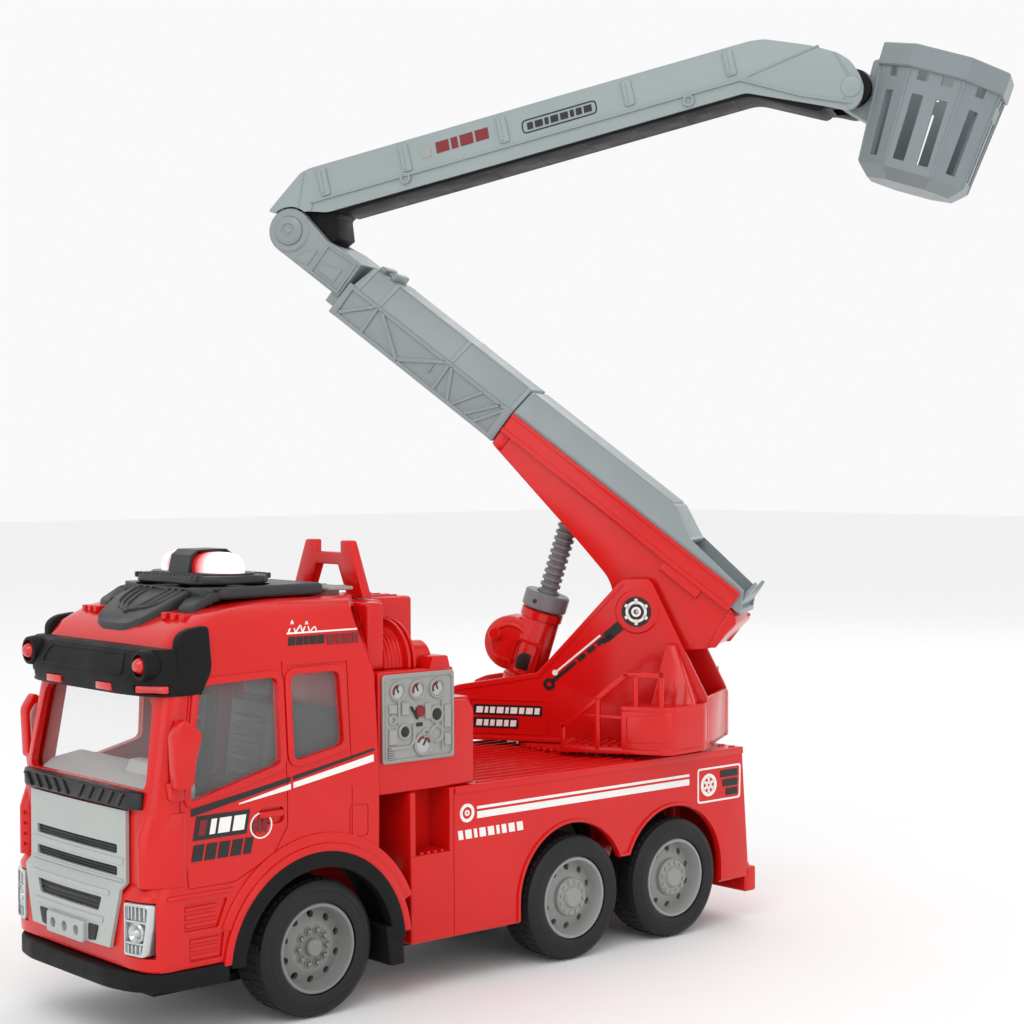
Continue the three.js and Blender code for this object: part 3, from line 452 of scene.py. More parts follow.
# ---------------------------------------------------------------- cab
FRONT_OF_CAB = [  # height, front, half width, corner length, corner width
    (28.4, 73.2, 49.6, 9, 16), (29.2, 74.2, 50, 9, 17), (34, 74.4, 50, 9, 17), (54.4, 74.4, 50, 9, 17),
    (55.4, 74, 49.8, 9, 17), (58, 71.4, 49.8, 9, 13), (82, 71.4, 50, 9, 13), (90, 70, 49.9, 8, 10),
    (107, 67, 48.6, 6, 8), (125, 63.8, 47.3, 6, 8), (140, 62, 46.2, 7, 9), (146.5, 57, 45.6, 8, 10),
    (151.4, 48, 43.6, 9, 11), (153.6, 40, 41.6, 9, 12), (155.2, 26, 39, 9, 12), (156, 14, 36, 8, 12)]


def cab_ring(z, inset=0.0, rear=-28.4):
    """The cab's outline at a height, with rounded front corners."""
    front, half, length, width = table(z, FRONT_OF_CAB)
    front, half = front - inset, half - inset
    left = [(front - length * t ** 2, half - width * (1 - t) ** 2) for t in (k / 8 for k in range(9))]
    left += [(rear + inset + 1.2, half), (rear + inset, half - 1.2)]
    right = [(x, -y) for x, y in left[::-1]]
    return [(x, y, z) for x, y in left + right]


def cab_skin():
    """Thin walls and roof, with the two upper rear corners cut off."""
    heights = [28.4, 29.2, 31, 34, 40, 48, 54.4, 55.4, 58, 62, 68, 75, 82, 86, 90, 98, 107, 116, 125, 133, 140,
               143.5, 146.5, 149, 151.4, 153.6, 155.2, 156]
    outer = loft([cab_ring(z) for z in heights])
    for side in (1, -1):
        corners = [Vector((-16.7, 44 * side, 155)), Vector((-29, 31 * side, 155)),
                   Vector((-28.5, 48 * side, 122))]
        normal = (corners[1] - corners[0]).cross(corners[2] - corners[0]).normalized()
        if normal.x > 0:
            normal = -normal
        bmesh.ops.bisect_plane(outer, geom=every(outer), plane_co=corners[0], plane_no=normal, clear_outer=True)
        bmesh.ops.holes_fill(outer, edges=[e for e in outer.edges if e.is_boundary], sides=0)
    outward(outer)
    inner = loft([cab_ring(z, 2.4) for z in [20] + heights[1:] if z < 152] + [cab_ring(152.6, 4)])
    return combined(outer, inner)


FRONT_WINDOW = [(17.5, 97), (57, 87), (50.8, 127.8), (17.5, 128.6)]
REAR_WINDOW = [(-11.2, 101.3), (11.8, 97), (11.8, 129), (-10.4, 129)]
WINDSCREEN = [(-42, 91.5), (42, 91.5), (38.6, 124), (-38.6, 124)]
ARCH = (0.5, 23)                      # middle of the front wheel arch
front_hole = rounded(FRONT_WINDOW, [2.5, 3, 4, 3])
rear_hole = rounded(REAR_WINDOW, 3)


def grown(points, by):
    """The outline moved outwards; points run anticlockwise."""
    result = []
    for i, point in enumerate(points):
        a, b, c = Vector(points[i - 1]), Vector(point), Vector(points[(i + 1) % len(points)])
        first, second = b - a, c - b
        if first.length < 1e-6 or second.length < 1e-6:
            continue
        n1, n2 = Vector((first.y, -first.x)).normalized(), Vector((second.y, -second.x)).normalized()
        side = (n1 + n2).normalized()
        side = side / max(0.5, side.dot(n1))
        result.append(tuple(b + side * by))
    return result


def cab_side(x, z):
    """Half width of the cab at a height."""
    return table(z, FRONT_OF_CAB)[1]


def on_cab_side(bm, lift=0.0):
    """Carries a flat solid drawn about y = 0 to the cab's left wall."""
    return draped(bm, lambda x, y, z: (0, cab_side(x, z) + lift, 0))


def frame_ring(hole, width, low, high):
    """Raised rim round a window, on the cab's left wall."""
    return on_cab_side(cut(prism(grown(hole, width), low, high, "y", 0.5),
                           prism(grown(hole, -0.1), low - 2, high + 2, "y")))


skin = cab_skin()
skin = cut(skin, prism(front_hole, -70, 70, "y"), prism(rear_hole, -70, 70, "y"),
           prism(rounded(WINDSCREEN, [4, 4, 6, 6]), 50, 90, "x"), rod(39.6, -70, 70, "y", ARCH, 0, 64))
skin = cut_both(skin, box(66, 90, 35.6, 48.6, 33.5, 53.2, 0))
# door seams, handle hollow and the fuel flap
FRONT_DOOR = [(14.8, 134), (14.8, 74), (21, 64), (38, 56.6), (57, 56.6), (60.6, 86), (54.6, 128), (52, 134)]
REAR_DOOR = [(12.8, 132), (-14.6, 132), (-14.6, 60.5), (-10, 60.5)]
seams = [ribbon(path, 0.45, -0.45, 1.2, "y") for path in (FRONT_DOOR, REAR_DOOR)]
seams.append(ribbon(rect(-22, -13.5, 66, 78, 1.5), 0.4, -0.4, 1.2, "y", True))
skin = cut_both(skin, *[on_cab_side(seam) for seam in seams],
                on_cab_side(prism(rect(16.4, 27.6, 75.4, 81.6, 2.4), -1.2, 2, "y")))
for recess in ([(45, 41.5), (59, 41.5), (59, 51.5), (41, 51.5)],
               [(43.6, 30.6), (57, 30.6), (57, 39.5), (42.4, 39.5)]):
    skin = cut_both(skin, prism(recess, 49.1, 52, "y"))
rims = both(frame_ring(front_hole, 2.6, -0.6, 0.9), frame_ring(rear_hole, 2.4, -0.6, 0.9))
handles = both(on_cab_side(box(16.8, 27.4, -0.7, 0.7, 78, 80.4, 0.5)))
bars = [box(44.2 + shift, 56.6 + 2 * shift, 48.9, 49.8, z, z + 1.5, 0.3, 1)
        for shift, z in ((0, 31.2), (0, 34.1), (0, 36.8), (1, 42.6), (1, 45.6), (1, 48.6))]
belt = both(on_cab_side(prism([(39.5, 53.5), (66, 53.5), (66, 54.9), (38.5, 54.9)], -0.6, 0.8, "y", 0.3)))
flares = []
for inner_radius, outer_radius, first, last, reach in ((39.5, 42.6, 4, 175, 1.1), (42.4, 46.6, 22, 158, 0.6)):
    outline = arc(*ARCH, outer_radius, last, first, 40) + arc(*ARCH, inner_radius, first, last, 40)
    flares.append(prism([(x, max(z, 27)) for x, z in outline], 48.6, 50 + reach, "y", 0.35))
roof_bars = both(*[prism(rounded([(43.6 - k * 0.6, 22 + 5.2 * k), (51.6 - k * 0.5, 23.4 + 5.2 * k),
                                  (51.2 - k * 0.5, 26 + 5.2 * k), (43.2 - k * 0.6, 24.6 + 5.2 * k)], 0.7),
                         150 - k * 0.1, 152.6 - 0.15 * k, "z", 0.3) for k in range(3)])
# vertical deflectors beside the grille, with their notches
deflector = prism(rounded([(71.2, 39.2), (73.8, 42.4), (71.8, 46.6), (66, 49.9), (60, 50.9), (58, 50.3),
                           (60, 45)], [1, 2, 3, 3, 1, 0.4, 0.4]), 58, 84, "z", 0)
LEAN_FROM = 76                        # the height above which the deflector leans back


def leaning_back(x, y, z):
    """Shift of one vertex of the deflector, most at its front edge."""
    return -0.35 * max(0, z - LEAN_FROM) * max(0, (x - 58) / 15), 0, 0


draped(sliced(deflector, "z", (LEAN_FROM,)), leaning_back)
soften(deflector, 0.8, 3, 50)
for z in (61, 65, 69, 73):
    deflector = cut(deflector, turned(box(71.9, 80, 37, 41.6, z, z + 1.3, 0.2, 1), 14, "x", (72, 40, z)))
piece("cab", "vehicle", [skin] + rims + handles + both(*bars) + belt + both(*flares) + roof_bars
      + both(deflector), RED, ("cab_shell",), 34)

# glazing, standing just inside the walls
panes = [on_cab_side(prism(grown(hole, 0.9), -1.1, -0.3, "y"), -1.2) for hole in (front_hole, rear_hole)]
screen = prism(grown(rounded(WINDSCREEN, [4, 4, 6, 6], 6), 0.8), -1, -0.2, "x")
screen = draped(screen, lambda x, y, z: (table(z, FRONT_OF_CAB)[0] - 1.4 - 0.002 * y * y, 0, 0))
piece("windows", "vehicle", both(*panes) + [screen], CLEAR, ("glazing",))

# front lip, arch liners, mirrors
lip_plan = [(40.3, 50.6), (61, 50.6), (69.5, 47.5), (75.3, 40), (77.9, 28)]
lip_plan += [(x, -y) for x, y in lip_plan[::-1]]
lip = prism(rounded(lip_plan, [1, 4, 4, 4, 4, 4, 4, 4, 4, 1]), 21.2, 28.1, "z", 1.3, 3)
lip = cut(lip, box(30, 68, -44, 44, 10, 40, 0))
liner = prism(arc(*ARCH, 39.1, 178, 4, 44) + arc(*ARCH, 35.6, 4, 178, 44), 30.3, 48.6, "y", 0.4)
liner_rim = prism(arc(*ARCH, 39.7, 178, 4, 44) + arc(*ARCH, 33.6, 4, 178, 44), 46.6, 51.4, "y", 0.6, 3)
step = prism(rounded([(-38.5, 14.6), (-31.6, 14.6), (-29.6, 30), (-37.4, 30)], 1), 31, 51.2, "y", 0.5)
piece("lip_and_arches", "vehicle", [lip] + both(liner, liner_rim, step), BLACK,
      ("front_lip", "arch_liner_left", "arch_liner_right"))
mirror = prism(rounded([(58.5, 93.5), (65.5, 92.5), (66.5, 112), (62.3, 118), (54.6, 112), (57, 104)], 2),
               51.5, 56.3, "y", 1.3, 3)
inset = prism(rounded([(59.4, 96), (63.9, 95.4), (64.6, 110.6), (61.8, 114.4), (57.4, 110.6), (59, 104.4)],
                      1.5), 50.9, 51.8, "y", 0.3)
stalk = prism(rounded([(60, 88.6), (65.4, 88.6), (66, 95), (60.6, 95)], 1), 47.6, 52.6, "y", 0.8)
piece("mirrors", "vehicle", both(mirror, stalk), RED, ("mirror_left", "mirror_right"))
piece("mirror_glass", "vehicle", both(inset), LAMP)

# grille
def face_x(z, y):
    """Front of the grille at a height and a width."""
    lower = 77.3 - 0.0012 * y * y
    upper = 74.3 - 0.0008 * y * y
    t = min(1, max(0, (z - 56.2) / 2.4))
    return lower + (upper - lower) * t


grille_face = [(-28.2, 35.2), (28.2, 35.2), (31.5, 46), (33.6, 53), (34.6, 58), (34.6, 84.2), (-34.6, 84.2),
               (-34.6, 58), (-33.6, 53), (-31.5, 46)]


def slab(outline, back, proud, cuts=()):
    """Plate following the grille's face, divided in strips so that it can bend with it."""
    bm = sliced(prism(outline, 0, proud, "x", 0), "z",
                (30, 34, 38, 42, 46, 50, 54, 56.2, 57, 58.6, 62, 68, 74, 80))
    bm = cut(sliced(bm, "y", range(-28, 35, 7)), *cuts)
    return draped(bm, lambda x, y, z: (face_x(z, y) - back, 0, 0))


SLOTS = ((68.3, 71.7, 28, 1), (60.4, 63.8, 28, 1), (47.3, 52.5, 22.2, -1))     # low, high, half width, lean
slot_cuts = []
for z0, z1, half, lean in SLOTS:
    outline = rounded([(-half - lean, z0), (half + lean, z0), (half + 1.2, z1), (-half - 1.2, z1)], 1)
    slot_cuts.append(prism(outline, -5, 5, "x"))
plate = slab(grille_face, 1.5, 1.4, cuts=slot_cuts)
bands = []
for low, high, z0, z1, radius in ((33, 33, 58.9, 59.6, 0.6), (33, 33, 64.9, 67.1, 0.6),
                                  (24, 24.6, 43.4, 45.4, 0.5), (28.2, 28.4, 53.8, 55.6, 0.6)):
    bands.append(slab(rounded([(-low, z0), (low, z0), (high, z1), (-high, z1)], radius), 0.3, 0.6))
tow = prism(rect(-13.4, 13.4, 34.5, 42.3, 1.2), 76, 78.7, "x", 0.5)
tow = cut(tow, *[rod(1.9, 70, 90, "x", (y, 38.4), 0, 24) for y in (-8.4, 0, 8.4)])
piece("grille_plate", "vehicle", [plate, tow] + bands, SILVER, ("grille",))
backing = [box(70.8, 72.6, -31, 31, 59.4, 82, 0.3), box(73, 75.6, -26, 26, 45, 54, 0.3),
           box(76, 76.9, -12, 12, 35.4, 41.4, 0.2, 1)]
backing += both(prism(rounded([(14.6, 35.8), (19.4, 36.4), (21.4, 42), (14.6, 42)], 0.8), 75.4, 77.2, "x", 0.4))
for z0, z1, half, lean in SLOTS:
    depth = face_x((z0 + z1) / 2, 0) - 1.3
    for share in (0.3, 0.66):
        z = z0 + share * (z1 - z0)
        backing.append(box(depth - 1.5, depth, -half, half, z - 0.35, z + 0.35, 0.2, 1))
strip_plan = [(69.7, -41.8), (72.2, -41.8), (74.8, -36), (74.8, 36), (72.2, 41.8), (69.7, 41.8)]
strip = prism(strip_plan, 85, 91.3, "z", 0.7)
teeth = []
for y in (2.6 + 6.9 * k for k in range(5)):
    tooth = [(y, 85.7), (y + 2.6, 85.7), (y + 6.4, 90.7), (y + 3.8, 90.7)]
    teeth += both(prism(tooth, 74.4, 75.6, "x", 0.35, 1))
piece("trim_strip", "vehicle", [strip] + teeth + backing, INK, ("grille_trim",))

# headlights
LAMP_OUTLINE = [(36.2, 34), (46, 34), (47.4, 43), (48.3, 52.6), (36.2, 52.6)]
LAMP_EYE = (41.4, 42.2)


def lamp_front(y):
    """How far the lamp's face falls back at a width."""
    return -9 * (1 - math.sqrt(max(0.5, 50 - y) / 17)) ** 2 if y > 33 else 0


housing = prism(rounded(LAMP_OUTLINE, 1.2), 66.6, 73.4, "x", 0.5)
bezel = cut(prism(rounded(LAMP_OUTLINE, 1.2), 70, 75.4, "x", 0.5),
            prism(rounded(grown(LAMP_OUTLINE, -1), 1), 60, 90, "x"))
bezel_parts = [bezel, box(70, 75.2, 36.6, 47.4, 45.6, 46.4, 0.3, 1), box(70, 75, 36.6, 46, 38, 38.8, 0.3, 1)]
lamp_ring = lathe([(3.6, -2), (3.6, 1), (3.1, 1.6), (2.6, 0.8), (1.3, -0.6), (0, -0.8)], "x", LAMP_EYE, 36)
bulb = lathe([(0, 1.9), (0.9, 1.7), (1.5, 0.8), (1.7, -0.6), (0, -0.6)], "x", LAMP_EYE, 24)
fins = [box(70, 74.6, 37.4 + 1.9 * k, 38 + 1.9 * k, 46.8, 51.8, 0.15, 1) for k in range(6)]
fins += [box(70, 74.4, 37 + 2 * k, 37.7 + 2 * k, 34.6, 37.8, 0.15, 1) for k in range(4)]
lamp_parts = [housing, moved(lamp_ring, 73.2), moved(bulb, 73.2)] + bezel_parts + fins
for solid in lamp_parts:
    draped(solid, lambda x, y, z: (lamp_front(y) if x > 69 else 0, 0, 0))
piece("headlights", "vehicle", both(*lamp_parts), LAMP, ("headlight_left", "headlight_right"))

# sun visor with its two lamps and marker lights
VISOR = [  # height, front, half width
    (124.6, 70.6, 48.2), (126.6, 71.8, 48.6), (130.2, 72.5, 48.6), (132, 71.8, 48.6), (136, 70, 48.5),
    (140.2, 67.9, 48.2), (141.2, 66.4, 47.8)]


def visor_ring(front, half, z):
    left = [(50, half), (57.4, half), (63, half - 1.4), (67, half - 4.6), (front - 1.2, half - 12),
            (front, half - 22)]
    left = rounded(left + [(front, -half + 22)], [0, 2, 3, 4, 4, 4, 0], 3)[:-1]
    return [(x, y, z) for x, y in left + [(x, -y) for x, y in left[::-1]]]


visor = loft([visor_ring(front, half, z) for z, front, half in VISOR])
VISOR_LAMP = (40.3, 135.6)
visor = cut(cut_both(visor, rod(3.6, 60, 80, "x", VISOR_LAMP, 0, 32)), box(40, 60.8, -43.8, 43.8, 110, 160, 0))
visor = cut_both(visor, box(66, 90, 12.6, 23.6, 125.4, 128.6, 0), box(62.4, 90, 36, 47.6, 125.4, 128.6, 0))
wing = prism(rounded([(47, 149), (45.5, 133), (50, 124.6), (60, 124.6), (60, 145.2), (56, 148)],
                     [2, 3, 2, 0, 3, 3]), 44.2, 48.5, "y", 1, 3)


def on_visor(outline, low, high, back, bevel=0.0):
    """Plate over the visor's sloping face."""
    return draped(prism(outline, low, high, "x", bevel), lambda x, y, z: (table(z, VISOR)[0] - back, 0, 0))


ridge = on_visor(rounded([(-30, 131.6), (30, 131.6), (27, 139.6), (-27, 139.6)], 2), -1, 0.5, 0.3, 0.35)
ridge = cut(ridge, on_visor(rounded([(-28.4, 132.6), (28.4, 132.6), (25.8, 138.6), (-25.8, 138.6)], 2),
                            -3, 3, 0))
socket = lathe([(5.6, 0), (5.2, 2.2), (4, 2.6), (3.5, 0.6), (3.5, -3), (5.6, -3)], "x", VISOR_LAMP, 36)
piece("visor", "vehicle", [visor, ridge] + both(wing, moved(socket, 68.6)), BLACK,
      ("sun_visor",), 28)
lamp = lathe([(0, 4.2), (1.8, 3.7), (2.9, 2.2), (3.15, 0), (3.15, -3.4), (0, -3.4)], "x", VISOR_LAMP, 32)
piece("visor_lamps", "vehicle", both(moved(lamp, 68.8)), RED_DEEP,
      ("visor_lamp_left", "visor_lamp_right"))
markers = [box(66.6, 72.6, 12.9, 23.3, 125.6, 128.4, 0.5),
           draped(box(64.2, 70.2, 36.3, 46.4, 125.6, 128.4, 0.5), lambda x, y, z: (-0.62 * (y - 36.3), 0, 0))]
piece("markers", "vehicle", both(*markers), RED_DEEP, ("marker_lights",))

# roof rack, plate and beacon
rack_top = [(-14.8, 32.8), (30, 32.8), (36.8, 28), (36.8, -28), (30, -32.8), (-14.8, -32.8)]
rack = prism(rounded(rack_top, 2.4), 156.4, 160.9, "z", 1.2, 3)
HOOD = [(30, 160.6), (36, 160.2), (44.4, 156.4), (52, 152.4), (58, 148.2)]     # x, height


def laid(bm, heights, depth):
    """Carries a solid drawn from z = 0 to 1: its top follows the heights, its underside is depth below."""
    return draped(bm, lambda x, y, z: (0, 0, table(x, heights)[0] - (depth if z < 0.5 else 1)))


tongue = prism(rounded([(30, -20), (47, -19.6), (56, -15), (58, -8), (58, 8), (56, 15), (47, 19.6), (30, 20)],
                       3, 5), 0, 1, "z", 0)
tongue = soften(laid(sliced(tongue, "x", range(34, 55, 4)), HOOD, 5.4), 1.0, 3, 50)
lobe = prism(rounded([(30, 20.6), (41, 21.4), (45.6, 25), (44.6, 33), (36, 32.8), (30, 31)], 1.6), 0, 1, "z", 0)
lobe = soften(laid(lobe, [(30, 160), (36, 159.2), (45, 154.2)], 4), 0.9, 3, 50)
grooves = []
for k, reach in enumerate((5.5, 10, 14.5)):
    path = [(37.4, reach + 1.4), (42, reach + 1), (49 - k, reach - 1), (52.4 - 1.2 * k, reach - 5)]
    path += [(52.8 - 1.2 * k, 0)] + [(x, -y) for x, y in path[::-1]]
    points = [(x, y, table(x, HOOD)[0] - 0.15) for x, y in rounded(path, 4, 5)]
    grooves.append(tube(points, 0.75, 8))
rim_bars = [prism(rect(*sides, 1), 160, 161, "z", 0.4)
            for sides in ((-13.6, 34, 30, 32), (-13.6, 34, -32, -30), (-14.4, -12.4, -30, 30))]
BEACON_X = 18.8
BEACON_PLAN = [(17, -20), (17, 20), (9, 28), (-9, 28), (-17, 20), (-17, -20), (-9, -28), (9, -28)]


def at_beacon(points):
    return [(BEACON_X + x, other) for x, other in points]


def beacon_plan(by):
    """Outline of the beacon's foot, made larger."""
    return rounded(at_beacon(grown(BEACON_PLAN, by)), 3)


recess = prism(beacon_plan(0.7), 159.4, 175, "z")
rack = cut(rack, recess, box(BEACON_X - 6.6, BEACON_X + 6.6, -8.6, 8.6, 150, 165, 0))
tongue = cut(tongue, recess)
lobes = [cut(solid, recess) for solid in both(lobe)]
piece("rack", "vehicle", [rack, tongue] + lobes + grooves + rim_bars, RACK_GREY,
      ("roof_rack",), 36)
plate_top = [box(-30.8, -18.8, -29.8, 29.8, 157.5, 158.9, 0.6), box(-27, -20.2, -25.8, 25.8, 155.8, 158, 0.4)]
plate_top += [box(-30, -19.6, y, y + 1.2, 158.6, 159.3, 0.3, 1) for y in (-26, -13.6, 12.4, 24.8)]
piece("roof_step", "vehicle", plate_top, PANEL, ("roof_plate",))

base = prism(beacon_plan(0), 161.4, 164.7, "z", 0.9, 3)
stem = box(BEACON_X - 6, BEACON_X + 6, -8, 8, 159.7, 162, 0.3)
COLLAR_PLAN = [(-12.6, -17), (-6, -26), (6, -26), (12.6, -17), (12.6, 17), (6, 26), (-6, 26), (-12.6, 17)]
collar = prism(rounded(at_beacon(COLLAR_PLAN), 3), 164, 165.5, "z", 0.4)
teeth = [box(x - 1.6, x + 1.6, y - 0.7, y + 0.7, 163, 165.1, 0.3, 1) for y in range(-21, 22, 3)
         for x in (BEACON_X - 15.2, BEACON_X + 15.2)]
bridge = prism(at_beacon([(-11.2, 164), (-9.4, 172), (-6.4, 174), (6.4, 174), (9.4, 172), (11.2, 164),
                          (9.7, 164), (8.2, 171.4), (6, 173.3), (-6, 173.3), (-8.2, 171.4), (-9.7, 164)]),
               -6.9, 6.9, "y", 0)
piece("beacon_base", "beacon", [base, stem, collar, bridge] + teeth, CHARCOAL,
      ("beacon_frame",))
DOME = ((165.2, 9.2, 25.5), (168, 9.1, 25.2), (170.4, 8.4, 24), (172, 6.9, 21.8), (172.9, 4.4, 18),
        (173.15, 1.6, 12))            # height, half length, half width
dome = loft([[(BEACON_X + x * half_x, y * half_y, z) for x, y in circle(0, 0, 1, 56)]
             for z, half_x, half_y in DOME])
piece("beacon_dome", "beacon", [dome], LENS_LIT, ("beacon_lens",), 60)

# cab inside
inside = [box(-24, 60, -43, 43, 62.6, 64.6, 0.4)]
for y in (-22, 22):                   # two front seats
    inside.append(prism(rounded([(16, 76), (38, 77), (38, 81.4), (16, 81)], 1.8), y - 14, y + 14, "y", 1.6, 3))
    inside.append(prism(rounded([(10, 77), (16.4, 78), (11.6, 118), (5.4, 118)], 2), y - 13, y + 13, "y",
                        1.6, 3))
    inside.append(prism(rounded([(6, 119), (10.6, 119), (10, 129), (5.6, 129)], 1.8), y - 7.6, y + 7.6, "y",
                        1.3, 3))
    for k in range(6):
        back, front, z = 13.4 - 0.495 * k, 17 - 0.558 * k, 84 + 5 * k
        inside.append(prism([(back, z), (front, z), (front - 0.4, z + 3), (back - 0.4, z + 3)], y - 10, y + 10,
                            "y", 0.8))
inside.append(prism(rounded([(-24, 64), (-6, 64), (-6, 80), (-17, 80), (-19, 112), (-24, 112)], 2), -38, 38,
                    "y", 1.2, 2))
piece("seats", "vehicle", inside, SEAT, ("cab_interior",))
dash = [prism(rounded([(53, 65), (65.6, 65), (67, 91), (62, 94.4), (49, 96.4), (46.4, 90), (48, 80)], 1.6),
              -38.8, 38.8, "y", 1, 3)]
hub_x, hub_y, hub_z = 47, 22, 104     # middle of the steering wheel
ring_path = [(hub_x - 11 * math.sin(a) * math.sin(0.25), hub_y + 11 * math.cos(a), hub_z + 11 * math.sin(a))
             for a in (2 * math.pi * k / 36 for k in range(36))]
dash += [tube(ring_path, 1.25, 10, True), tube([(hub_x, hub_y, hub_z), (55, hub_y, 92)], 2.2, 16),
         tube([(hub_x, 11.6, hub_z), (47.2, 32.4, hub_z)], 1.2, 8),
         tube([(hub_x, hub_y, 103), (49.4, hub_y, 93)], 1.3, 8), box(45.6, 48, 18.6, 25.4, 101.4, 106.6, 0.8)]
dash += [prism(rounded([(51, 94), (61, 93.4), (59, 99), (53, 99)], 1.2), 13, 31, "y", 0.8)]
dash += [box(48.4, 52, y, y + 7, 80.6, 84.4, 0.5) for y in (-32, -22, -12, -2)]
piece("dash", "vehicle", dash, DASH, ("dashboard",))

# ---------------------------------------------------------------- body behind the cab
BODY_HALF = 47
side_outline = [(-45, 78.9), (-45, 19.6), (-239.8, 19.6), (-235.3, 78.9)]
body = prism(side_outline, -BODY_HALF, BODY_HALF, "y", 1.1, 3)
body = cut(body, box(-233, -68, -44.8, 44.8, 0, 76.8, 0), box(-68.2, -50, -30, 30, 0, 76.8, 0))
REAR_AXLES = (-130.6, -190.6)
ARCH_RADIUS, ARCH_LIP_RADIUS, ARCH_Z = 29.3, 30.2, 27.8
BRIDGE = 39.2                         # top of the opening between the two arches
for x in REAR_AXLES:
    arch = arc(x, ARCH_Z, ARCH_RADIUS, 0, 180, 40) + [(x - ARCH_RADIUS, 0), (x + ARCH_RADIUS, 0)]
    body = cut(body, prism(arch, -60, 60, "y"))
body = cut(body, box(REAR_AXLES[1], REAR_AXLES[0], -60, 60, 0, BRIDGE, 0))
body = cut(cut_both(body, box(-64.4, -47.2, 34, 60, 54, 90, 0)), rod(14.7, 60, 90, "z", (-198, 0), 0))
body = cut_both(body, *[ribbon(path, 0.4, 46.5, 48, "y")
                        for path in ([(-66.6, 78), (-66.6, 20)], [(-64.6, 54), (-46, 54)])])
bumper = [box(-244.3, -237, -BODY_HALF, BODY_HALF, 12.8, 24, 1.1, 3),
          box(-240.5, -236, -46.4, 46.4, 22, 26, 0.8)]
lip_line = [(REAR_AXLES[0] + ARCH_LIP_RADIUS, 20.6)] + arc(REAR_AXLES[0], ARCH_Z, ARCH_LIP_RADIUS, 0, 156, 40)
lip_line += arc(REAR_AXLES[1], ARCH_Z, ARCH_LIP_RADIUS, 24, 180, 40) + [(REAR_AXLES[1] - ARCH_LIP_RADIUS, 20.6)]
arch_lips = [ribbon(lip_line, 2, 45.8, 47.8, "y")]
treads = [box(-62.4 + 3.4 * k, -61 + 3.4 * k, 35.6, 46, 53.6, 54.9, 0.25, 1) for k in range(4)]
upper = [prism([(-67, 75.8), (-235.2, 75.8), (-235, 79), (-67, 79)], 46.4, 47.6, "y", 0.5)]
deck_ribs = [box(*ends, y, y + 1.2, 78.4, 79.5, 0.25, 1) for ends in ((-168, -80), (-232, -228.6))
             for y in (-44 + 6.3 * k for k in range(15))]
posts = [rod(3.6, 17.3, 78, "z", (-222, y), 0.2, 20) for y in (16, -16)]
TAIL_LAMPS = (-33, 33)
tail = [prism(rect(y - 8, y + 8, 34, 52, 2), -239.6, -237.6, "x", 0.5) for y in TAIL_LAMPS]
shutter = [box(-238.6, -236.4, -22, 22, 34 + 4.6 * k, 37.4 + 4.6 * k, 0.7) for k in range(8)]
for solid in shutter:
    draped(solid, lambda x, y, z: (0.0735 * (z - 34), 0, 0))
piece("body", "vehicle", [body] + bumper + both(*arch_lips, *treads, *upper) + deck_ribs + posts + tail
      + shutter, RED, ("body_shell",), 34)
tail_lamps = [lathe([(0, -241), (1.4, -240.8), (2.1, -239.9), (2.1, -238.4), (0, -238.4)], "x", (y, z), 24)
              for y in TAIL_LAMPS for z in (38, 43, 48)]
piece("tail_lamps", "vehicle", tail_lamps, RED_DEEP)

# pump house, tank, reel and ladder rest
house = prism([(-30, 79.3), (-30, 126.4), (-67.4, 126.4), (-67.4, 113), (-75, 113), (-78, 109), (-78, 79.3)],
              -46, 46, "y", 0.9, 3)
house = cut(house, box(-65.2, -32.2, -43.8, 43.8, 60, 124.3, 0), box(-75.8, -65.4, -43.8, 43.8, 60, 107, 0))
house_extras = [box(-76.8, -68.6, y, y + 13.4, 112.6, 113.8, 0.4, 1)
                for y in (-44, -29.4, -14.8, 1.4, 16, 30.6)]
house_extras += [box(-78.9, -77.6, y, y + 15, 84, 104, 0.5, 1) for y in (-43, -25, -7.4, 10, 28)]
house_extras += [prism(rounded([(-66.4, 126), (-56, 126), (-57.4, 131), (-65, 131)], 1), 36.4, 45.4, "y", 0.6)]
tank = [box(-38, -29.6, -40, 40, 126.6, 152.8, 1.4, 3), box(-46, -37, -28, 28, 146, 152.8, 1.2, 3),
        box(-70, -37.4, -17, 17, 126.6, 152.8, 1.6, 3)]
tank += [box(-30.2, -29.45, y, y + 8, 130, 148, 0.3, 1) for y in (-36, -24, -12, 4, 16, 28)]
tank += [box(-66, -44, y, y + 1.6, 152, 153.4, 0.4, 1) for y in (-12, -6, 0, 6, 11)]
rest = prism([(9, 175.8), (14.5, 175.8), (24.5, 153.1), (13.5, 153.1), (7.2, 166), (-7.2, 166), (-13.5, 153.1),
              (-24.5, 153.1), (-14.5, 175.8), (-9, 175.8), (-9, 171), (9, 171)], -44, -39.6, "x", 0.7)
rest_webs = both(prism([(10.2, 174.6), (13.4, 174.6), (21.6, 156), (17, 156)], -44.8, -43.6, "x", 0.4))
piece("pump_and_tank", "vehicle", [house, rest] + house_extras + tank + rest_webs, RED,
      ("pump_house", "water_tank", "ladder_rest"), 34)
REEL, CRANK = (23, 127.5), (30, 128.6)
drum = [rod(18, -53, -51.6, "x", REEL, 0.4, 56), rod(18, -50.4, -48.9, "x", REEL, 0.4, 56),
        rod(15.2, -51.8, -38.4, "x", REEL, 0.4, 48)]
drum += [lathe([(14.6, x - 0.9), (15.4, x - 0.6), (15.9, x), (15.4, x + 0.6), (14.6, x + 0.9)], "x", REEL, 48)
         for x in (-47.3 + 2 * k for k in range(5))]
